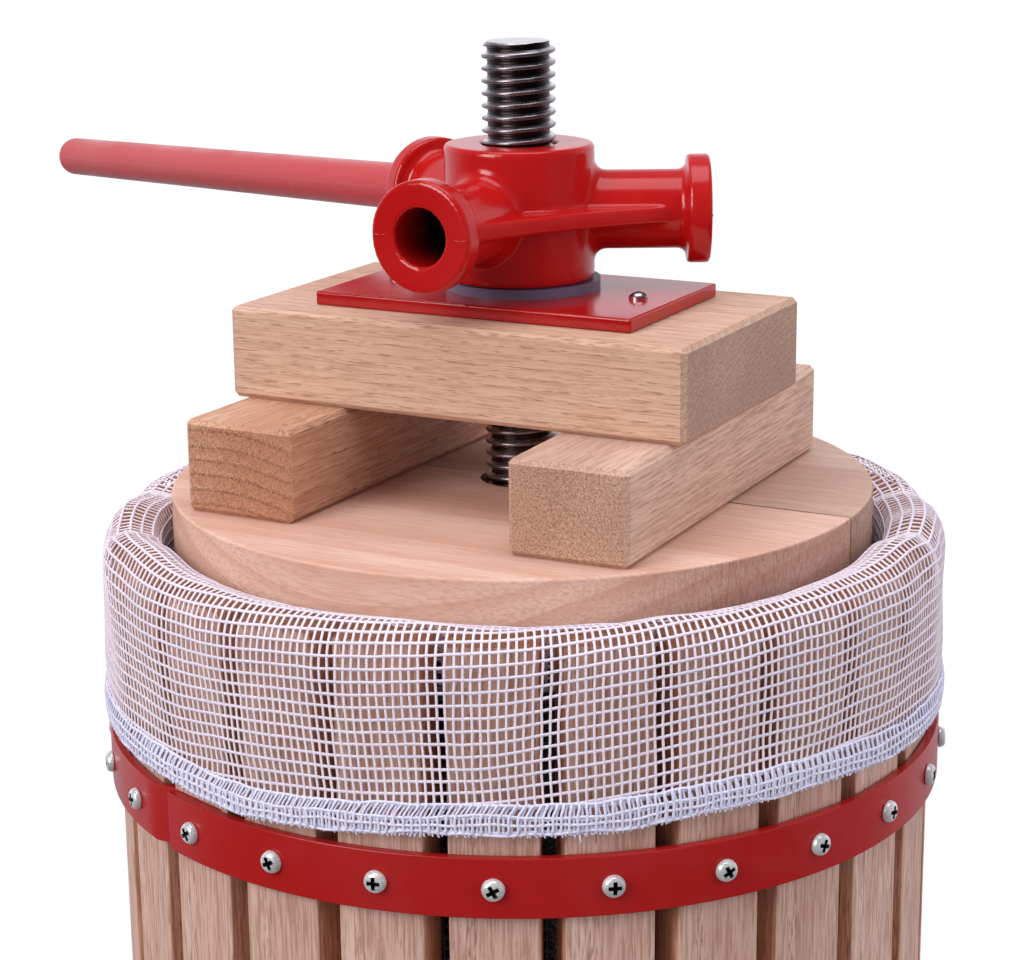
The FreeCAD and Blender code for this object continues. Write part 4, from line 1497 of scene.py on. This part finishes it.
    @staticmethod
    def _read(line: tuple, azimuth: np.ndarray) -> np.ndarray:
        """Reads a line at azimuths in radians, a little smoothed.

        Args:
            line: Pairs of an azimuth in degrees and a value.
            azimuth: The azimuths in radians.

        Returns:
            The values at the azimuths.
        """
        degrees, value = np.array(line, float).T
        turned = np.degrees(azimuth)
        return sum(np.interp((turned + step + 180.0) % 360.0 - 180.0, degrees, value)
                   for step in (-3.0, -1.5, 0.0, 1.5, 3.0)) / 5.0

    def hem_bottom(self, azimuth: np.ndarray) -> np.ndarray:
        """Returns the height of the hem's lower edge at each azimuth."""
        return self.hoop_middle + self._read(self.hem_line, azimuth) * MM

    def _profile(self, azimuth: float) -> np.ndarray:
        """Returns the cloth's section at one azimuth, from inside the hem over the rim into the lining.

        Args:
            azimuth: The azimuth in radians.

        Returns:
            Radii and heights of points along the section, close together.
        """
        crest = self.hoop_middle + float(self._read(self.crest_line, np.array(azimuth))) * MM
        start = float(self.hem_bottom(np.array(azimuth))) + self.hem_height - self.tucked
        outer, inner, rim = self.cuff_radius, self.lining_radius, self.rim
        rise = crest - rim
        control = np.array([
            (outer + 0.4 * MM, start), (outer, start + 8 * MM), (outer, (start + rim) / 2),
            (outer, rim - 12 * MM), (outer - 0.4 * MM, rim - 4 * MM), (outer - 2.8 * MM, rim + 0.42 * rise),
            (outer - 8.2 * MM, crest + 0.7 * MM), (inner + 8.0 * MM, rim + 0.8 * rise),
            (inner + 3.2 * MM, rim + 0.5 * rise + 0.2 * MM), (inner + 0.6 * MM, rim + 1.3 * MM),
            (inner, rim - 7 * MM), (inner, rim - 20 * MM),
        ])
        return self._rounded(control, 24)

    @staticmethod
    def _rounded(control: np.ndarray, steps: int) -> np.ndarray:
        """Rounds a run of points with a quadratic B-spline that keeps its ends.

        Args:
            control: The points of the run, one row each.
            steps: How many points each part of the curve gets.

        Returns:
            The curve's points.
        """
        middles = (control[:-1] + control[1:]) / 2
        share = np.linspace(0.0, 1.0, steps, endpoint=False)[:, None]
        pieces = [control[0] + (middles[0] - control[0]) * share]
        for i in range(1, len(control) - 1):
            a, b, c = middles[i - 1], control[i], middles[i]
            pieces.append(a * (1 - share) ** 2 + 2 * b * share * (1 - share) + c * share ** 2)
        pieces.append(middles[-1] + (control[-1] - middles[-1]) * share)
        pieces.append(control[-1:])
        return np.concatenate(pieces)

    def _gathered(self, azimuth: np.ndarray, weight: np.ndarray) -> tuple[np.ndarray, np.ndarray]:
        """Pulls azimuths into the gathers.

        Args:
            azimuth: The azimuths of the flat net, in radians.
            weight: How strongly the gathers act, from 0 to 1.

        Returns:
            The pulled azimuths and the rise of the cloth between the gathers.
        """
        shift, rise = np.zeros_like(azimuth), np.zeros_like(azimuth)
        for gather in self.gathers:
            away = (azimuth - math.radians(gather.azimuth) + math.pi) % math.tau - math.pi
            width = math.radians(gather.width)
            near = np.exp(-((away / width) ** 2))
            shift = shift - gather.pull * away * near
            ridge = np.exp(-(((np.abs(away) - 1.5 * width) / (0.8 * width)) ** 2))
            rise = rise + gather.dip * MM * (0.9 * ridge - 0.7 * near)
        return azimuth + shift * weight, rise * weight

    def _rows(self, azimuth: np.ndarray, sections: list[np.ndarray], lengths: list[np.ndarray]) -> np.ndarray:
        """Spaces the net's rows along each section, from inside the hem to the lining.

        Args:
            azimuth: The yarns' azimuths in radians.
            sections: Each yarn's section.
            lengths: The lengths along each section.

        Returns:
            The rows' places along the sections, as rows by yarns.
        """
        ends = np.array([length[-1] for length in lengths])
        start = np.array([section[0, 1] for section in sections])
        first = self.hoop_middle + self._read(self.row_line, azimuth) * MM - start
        below = math.ceil(float(first.max()) / self.row_pitch)
        count = below + math.ceil(float((ends - first).max()) / self.row_pitch) + 1
        place = first[None, :] + (np.arange(count)[:, None] - below) * self.row_pitch
        # Rows that would lie beyond an end of the section run together there
        edge = 0.6 * MM
        place = np.where(place > edge, place, edge * np.exp(np.minimum(place - edge, 0.0) / (3.0 * edge)))
        rest = ends - place
        return ends - np.where(rest > edge, rest, edge * np.exp(np.minimum(rest - edge, 0.0) / (3.0 * edge)))

    def _cloth(self) -> tuple[np.ndarray, np.ndarray, np.ndarray, float]:
        """Lays the net out over the rim.

        Returns:
            The crossings as rows by yarns by xyz, the unit vectors along the yarns and out of the cloth, and
            the cloth's mean length from the hem to the lining.
        """
        azimuth = np.arange(self.yarn_count) * math.tau / self.yarn_count
        sections = [self._profile(a) for a in azimuth]
        lengths = [run_lengths(section) for section in sections]
        run = self._rows(azimuth, sections, lengths)
        radius, height = (
            np.stack([np.interp(places, length, section[:, part])
                      for places, length, section in zip(run.T, lengths, sections)], axis=1)
            for part in (0, 1)
        )
        bearing = np.broadcast_to(azimuth, run.shape)
        free = np.clip(run / self.held, 0.0, 1.0) * np.clip((run[-1] - run) / self.held, 0.0, 1.0)
        fallen = np.clip((self.hoop_middle + self.swing_top - height) / self.swing_fall, 0.0, 1.0)
        hang = fallen * (radius > self.outside_radius)
        swing = np.radians(self._read(self.lean_line, bearing)) * hang ** self.swing_bend
        above = height - self.rim
        over = np.exp(-((above / self.gather_reach) ** 2))
        over = over * np.clip((above + self.gather_foot) / self.gather_fade, 0, 1)
        bearing, rise = self._gathered(bearing, np.clip(over, 0.0, 1.0))
        stray = free * self.stray_round * MM * self.sway_round(bearing, run) / self.cuff_radius
        bearing = bearing + swing + stray
        bearing = bearing + free * self.fine_round * MM * self.fuzz(bearing, run) / self.cuff_radius
        top = np.clip((height - self.rim) / self.blend_run, 0.0, 1.0)
        outside = np.clip((radius - self.outside_radius) / self.blend_run, 0.0, 1.0)
        swell = self.fullness + self.sway_out(bearing, run)
        radius = radius + free * outside * self.stray_out * MM * swell
        ripple = self.stray_along * self.sway_along(bearing, run) + self.fine_along * self.fuzz(bearing, run)
        height = height + free * (1 - top) * MM * ripple
        height = height + top * (rise + self.stray_crest * MM * self.sway_out(bearing, run))
        points = from_azimuth(bearing, radius, height)
        up = np.gradient(points, axis=0)
        about = np.roll(points, -1, axis=1) - np.roll(points, 1, axis=1)
        up /= np.linalg.norm(up, axis=-1, keepdims=True)
        about /= np.linalg.norm(about, axis=-1, keepdims=True)
        out = np.cross(about, up)
        out /= np.linalg.norm(out, axis=-1, keepdims=True)
        return points, up, out, float(np.mean([length[-1] for length in lengths]))

    def build(self, materials: dict[str, bpy.types.Material]) -> None:
        """Makes the cuff with its fold, the hem and the lining.

        Args:
            materials: The materials by name.
        """
        yarns = [materials["net_warp"], materials["net_weft"]]
        points, up, out, cuff_length = self._cloth()
        cuff = YarnMesh()
        side = np.cross(up, out)
        cuff.add(points.transpose(1, 0, 2), side.transpose(1, 0, 2), out.transpose(1, 0, 2), self.warp_width,
                 self.yarn_thickness, False, 0)
        cuff.add(points, np.cross(out, side), out, self.weft_width, self.yarn_thickness, True, 1)
        net = cuff.build("bag_cuff", yarns)
        add_piece(net, "basket", "net_fabric", "straining_bag")
        hem = self._hem([materials["net_hem"]] * 2)
        # The lining wears the darkened yarn, painted shade for the inside of the basket
        lining = self._lining(points[-1], [materials["net_lining_shaded"]] * 2)

    def _hem(self, yarns: list[bpy.types.Material]) -> bpy.types.Object:
        """Makes the turned hem: two layers of the net, one behind the other, with a frayed edge.

        Args:
            yarns: The warp's and the weft's materials.

        Returns:
            The hem.
        """
        draw = np.random.default_rng(self.hem_seed)
        mesh = YarnMesh()
        layers = (
            # Levels of the rows, depth, share of a yarn's spacing, lean of the yarns left and right
            (np.array([0.7, 3.6, 6.3, 10.1]) * MM, 0.3 * MM, 0.0, (0.62, -0.12)),
            (np.array([1.4, 5.5, 9.6]) * MM, -0.2 * MM, 0.5, (0.62, -0.3)),
        )
        fine, slow, outwards = self.hem_waver
        for levels, depth, share, leans in layers:
            count = self.yarn_count * 2
            azimuth = np.arange(count) * math.tau / count
            rows = []
            for level in levels:
                puff = self.hem_puff * math.sin(math.pi * level / self.hem_height)
                wobble = fine * self.fuzz(azimuth, 9 * level)
                wobble = wobble + slow * self.sway_along(azimuth * 3, 9 * level)
                stand = self.cuff_radius + self.hem_stand + puff + depth
                radius = stand + outwards * self.fuzz(azimuth, 5 * level)
                rows.append(from_azimuth(azimuth, radius, self.hem_bottom(azimuth) + level + wobble))
            cords = np.stack(rows)
            mesh.add(cords, UP, from_azimuth(azimuth, 1.0, 0.0), *self.hem_cord, True, 1)
            azimuth = (np.arange(self.yarn_count) + share) * math.tau / self.yarn_count
            azimuth = azimuth + draw.normal(0.0, self.yarn_scatter, self.yarn_count) / self.cuff_radius
            degrees = (np.degrees(azimuth) + 180.0) % 360.0 - 180.0
            lean = np.interp(degrees, self.lean_turn, leans)
            heights = np.linspace(self.hem_inset, self.hem_height - self.hem_inset, self.hem_steps)[None, :]
            shift = lean[:, None] * np.maximum(heights - self.lean_height, 0.0)
            shift = shift + draw.normal(0.0, self.yarn_bend, (self.yarn_count, self.hem_steps))
            turned = azimuth[:, None] + shift / self.cuff_radius
            puff = self.hem_puff * np.sin(math.pi * heights / self.hem_height)
            stand = self.cuff_radius + self.hem_stand + puff + depth + self.yarn_stand
            bent = from_azimuth(turned, stand, self.hem_bottom(turned) + heights)
            tangent, outward = from_azimuth(turned + math.pi / 2, 1.0, 0.0), from_azimuth(turned, 1.0, 0.0)
            mesh.add(bent, tangent, outward, *self.hem_yarn, False, 0)
        self._fray(mesh, draw)
        piece = mesh.build("bag_hem", yarns)
        return add_piece(piece, "basket", "net_fabric")

    def _fray(self, mesh: YarnMesh, draw: np.random.Generator) -> None:
        """Adds short loose ends under the hem.

        Args:
            mesh: The hem's mesh.
            draw: The source of chance.
        """
        count = self.yarn_count * 2
        azimuth = (np.arange(count) + draw.uniform(-0.4, 0.4, count)) * math.tau / count
        middle, width, growth = self.tuft
        tuft = np.exp(-(((azimuth - middle) / width) ** 2))
        length = draw.uniform(*self.fray_lengths, count) * MM * (1.0 + growth * tuft)
        turned = azimuth + draw.normal(0.0, self.fray_scatter, count) / self.cuff_radius
        bottom = self.hem_bottom(azimuth) + 0.5 * MM
        radius = np.full(count, self.cuff_radius + 0.8 * MM)
        roots = from_azimuth(azimuth, radius, bottom)
        tips = from_azimuth(turned, radius, bottom - length - 0.3 * MM)
        radial, tangent = from_azimuth(azimuth, 1.0, 0.0), from_azimuth(azimuth + math.pi / 2, 1.0, 0.0)
        fibres = np.stack([roots, (roots + tips) / 2 + radial * 0.15 * MM, tips], axis=1)
        mesh.add(fibres, tangent[:, None, :], radial[:, None, :], *self.loose_end, False, 0)

    def _lining(self, joined: np.ndarray, yarns: list[bpy.types.Material]) -> bpy.types.Object:
        """Makes the lining down the staves and over the tray's floor.

        Args:
            joined: The fold's last row of crossings, where the lining starts.
            yarns: The warp's and the weft's materials.

        Returns:
            The lining.
        """
        top = float(joined[:, 2].mean())
        foot = self.floor + 0.5 * MM
        bend = 12 * MM
        radius, disc_foot = self.lining_radius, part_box("half_disc_front")[0].z
        # The discs pass here when the nut is wound down and the basket is lifted
        straight_foot = disc_foot - self.disc_travel
        control = np.array([
            (radius, top), (radius - 2.3 * MM, top - 9 * MM), (radius - 2.5 * MM, disc_foot + 9 * MM),
            (radius - 2.5 * MM, straight_foot), (radius - 5.0 * MM, straight_foot - 22 * MM),
            (radius - 10.0 * MM, (straight_foot + foot) / 2), (radius - 5.0 * MM, foot + 40 * MM),
            (radius - 0.5 * MM, foot + bend), (radius, foot), (radius - bend, foot),
            (self.floor_hole_radius, foot),
        ])
        section = self._rounded(control, 16)
        length = run_lengths(section)
        mesh = YarnMesh()
        for steps, turned in ((np.linspace(0.0, length[-1], 30), False),
                              (np.arange(self.row_pitch, length[-1], self.row_pitch), True)):
            count = self.ring_steps if turned else self.yarn_count
            azimuth = np.arange(count) * math.tau / count
            radius, height = np.interp(steps, length, section[:, 0]), np.interp(steps, length, section[:, 1])
            run = np.gradient(np.stack([radius, height], -1), axis=0)
            run /= np.linalg.norm(run, axis=-1, keepdims=True)
            points = from_azimuth(azimuth[None, :], radius[:, None], height[:, None])
            along = from_azimuth(azimuth[None, :], run[:, :1], run[:, 1:])
            out = from_azimuth(azimuth[None, :], -run[:, 1:], run[:, :1])
            if turned:
                mesh.add(points, along, out, self.weft_width, self.yarn_thickness, True, 1)
            else:
                side = np.cross(along, out)
                mesh.add(points.transpose(1, 0, 2), side.transpose(1, 0, 2), out.transpose(1, 0, 2),
                         self.warp_width, self.yarn_thickness, False, 0)
        piece = mesh.build("bag_lining", yarns)
        return add_piece(piece, "basket", "net_fabric")


@dataclass
class RigidPieces:
    """The frame nodes that keep their own shape, and the finish of each."""

    finishes: tuple = (
        ("stave_", "stave_wood"), ("hoop_screws_", "zinc_plate"), ("hoop_", "red_band"),
        ("half_disc_front", "disc_wood"), ("half_disc_back", "disc_wood_back"),
        ("cross_block_left", "block_wood_left"), ("cross_block_right", "block_wood_right"),
        ("top_block", "block_wood"), ("head_plate", "red_plate"), ("plate_screws", "zinc_plate"),
        ("nylon_washer", "nylon"), ("lever_bar", "red_bar"), ("juice_tray", "red_enamel"),
        ("base_spider", "red_casting"), ("leg_bolts", "zinc_plate"), ("leg_", "red_casting"),
        ("screw_washer_", "zinc_plate"), ("screw_nut_", "zinc_plate"), ("press_nut", "red_casting"),
        ("press_screw", "dark_steel"), ("straining_bag", "net_weft"),
    )

    def build(self, materials: dict[str, bpy.types.Material]) -> None:
        """Dresses each node in the first finish whose prefix its name has.

        Args:
            materials: The materials by name.
        """
        for node in sorted(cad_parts):
            finish = next(finish for prefix, finish in self.finishes if node.startswith(prefix))
            dress(node, materials[finish])


@dataclass
class Studio:
    """The camera, the soft lights and the pale floor."""

    camera_place: tuple = (0.0, -0.8784, 0.7866)
    yaw: float = -0.0041
    pitch: float = 0.2607
    roll: float = -0.0104
    lens: float = 90.04
    sensor: float = 36.0
    clip: tuple = (0.05, 60.0)
    sky: Colour = (0.95, 0.93, 1.0)
    plain: Colour = (1.0, 1.0, 1.0)
    # The strength that reads as plain white
    white: float = 1.05
    # The floor's near and far edge and its half width, and the distances between which it fades to white
    floor_edges: tuple = (-1.5, 2.4, 3.0)
    floor_fade: tuple = (0.45, 1.4)
    floor_colours: tuple = ((0.93, 0.93, 0.94), (0.90, 0.90, 0.91))
    floor_roughness: float = 0.7
    # Each softbox: its name, place, target, size, power and colour, and whether shiny pieces mirror it
    softboxes: tuple = (
        ("key_softbox", (-1.5, -1.3, 1.5), (0.0, 0.0, 0.55), (1.0, 1.3), 30.0, (1.0, 0.98, 0.97), True),
        ("side_softbox", (1.9, -0.9, 1.0), (0.0, 0.0, 0.45), (1.8, 1.9), 17.0, (0.97, 0.97, 1.0), False),
        ("top_softbox", (0.0, -0.1, 2.3), (0.0, 0.0, 0.6), (1.6, 1.2), 14.0, (0.91, 0.94, 1.0), True),
    )

    def build(self) -> None:
        """Sets up the view, the lights and the floor."""
        self._camera()
        self._surroundings()
        for softbox in self.softboxes:
            self._light(*softbox)
        self._floor()
        view = bpy.context.scene.view_settings
        view.view_transform = "Standard"
        view.look = "None"
        view.exposure = 0.0

    def _camera(self) -> None:
        """Makes the camera from its place, its turn, its tilt and its roll."""
        data = bpy.data.cameras.new("camera")
        data.sensor_width = self.sensor
        data.lens = self.lens
        data.clip_start, data.clip_end = self.clip
        camera = link_object("camera", data)
        ahead = Vector((math.sin(self.yaw) * math.cos(self.pitch), math.cos(self.yaw) * math.cos(self.pitch),
                        -math.sin(self.pitch)))
        right = Vector((math.cos(self.yaw), -math.sin(self.yaw), 0.0))
        up = right.cross(ahead)
        cosine, sine = math.cos(self.roll), math.sin(self.roll)
        right, up = cosine * right + sine * up, cosine * up - sine * right
        turned = Matrix((right, up, -ahead)).transposed().to_4x4()
        camera.matrix_world = Matrix.Translation(self.camera_place) @ turned
        bpy.context.scene.camera = camera

    @staticmethod
    def _light(
        name: str, place: tuple, target: tuple, size: tuple, power: float, colour: Colour, mirrored: bool
    ) -> None:
        """Adds a rectangular softbox that points at a target.

        Args:
            name: Its name.
            place: Where it hangs.
            target: The point that it looks at.
            size: Its width and height.
            power: Its power in watts.
            colour: Its colour.
            mirrored: Whether shiny pieces mirror it.
        """
        data = bpy.data.lights.new(name, "AREA")
        data.shape = "RECTANGLE"
        data.size, data.size_y = size
        data.energy = power
        data.color = colour
        light = link_object(name, data)
        light.location = place
        light.rotation_mode = "QUATERNION"
        light.rotation_quaternion = (Vector(target) - Vector(place)).to_track_quat("-Z", "Y")
        light.visible_glossy = mirrored

    def _surroundings(self) -> None:
        """Makes a studio that is bright behind and above the press, and plain white where it is seen."""
        world = bpy.data.worlds.new("studio")
        world.use_nodes = True
        world.node_tree.nodes.clear()
        sheet = NodeSheet(world.node_tree)
        direction = sheet.node("ShaderNodeTexCoord").outputs["Generated"]
        _, back, up = sheet.split(direction)
        toward = sheet.plus(back, sheet.times(up, 0.9))
        path = sheet.node("ShaderNodeLightPath")
        glow = sheet.ease(toward, -0.5, 0.8, 0.40, 0.95)
        soft = sheet.node("ShaderNodeBackground", {"Color": self.sky, "Strength": glow})
        # What shiny pieces mirror: dark cloth in front, a dark ceiling and a bright wall behind
        wall = sheet.times(sheet.ease(back, -0.25, 0.75, 0.06, 0.96), sheet.ease(up, 0.2, 0.7, 1.0, 0.3))
        wall = sheet.times(wall, sheet.ease(up, -0.5, -0.05, 0.35, 1.0))
        mirrored = sheet.node("ShaderNodeBackground", {"Color": self.sky, "Strength": wall})
        plain = sheet.node("ShaderNodeBackground", {"Color": self.plain, "Strength": self.white})
        mixed = sheet.mix(path.outputs["Is Glossy Ray"], soft, mirrored)
        mixed = sheet.mix(path.outputs["Is Camera Ray"], mixed, plain)
        sheet.node("ShaderNodeOutputWorld", {"Surface": mixed.outputs[0]})
        bpy.context.scene.world = world

    def _floor(self) -> None:
        """Lays the pale floor under and behind the press."""
        near, far, side = self.floor_edges
        corners = np.array([(-side, near, 0.0), (side, near, 0.0), (side, far, 0.0), (-side, far, 0.0)])
        floor = mesh_object("floor", corners, np.array([[0, 1, 2, 3]]), smooth=False)
        material, sheet, shader = new_material("pale_floor")
        point = object_point(sheet)
        mottle = sheet.noise(point, 3.0, 3.0)
        colour = sheet.blend(mottle, *self.floor_colours)
        sheet.fill(shader, Base_Color=colour, Roughness=self.floor_roughness)
        distance = sheet.measure("LENGTH", point)
        glow = sheet.node("ShaderNodeEmission", {"Color": self.plain, "Strength": self.white})
        faded = sheet.mix(sheet.ease(distance, *self.floor_fade), shader, glow)
        output = next(n for n in sheet.tree.nodes if n.bl_idname == "ShaderNodeOutputMaterial")
        sheet.fill(output, Surface=faded.outputs[0])
        floor.data.materials.append(material)
        floor.visible_glossy = False
        floor.visible_diffuse = False


def main() -> None:
    """Builds the press and its studio in order."""
    logging.basicConfig(level=logging.INFO, format="%(name)s: %(message)s")
    Studio().build()
    materials = FinishSet().build()
    parts = (
        RigidPieces(), PaintedSteel(), PaintRidges(), HoopScrews(), PressScrew(), PressNut(), StrainingBag(),
    )
    for part in parts:
        part.build(materials)


if __name__ == "__main__":
    main()
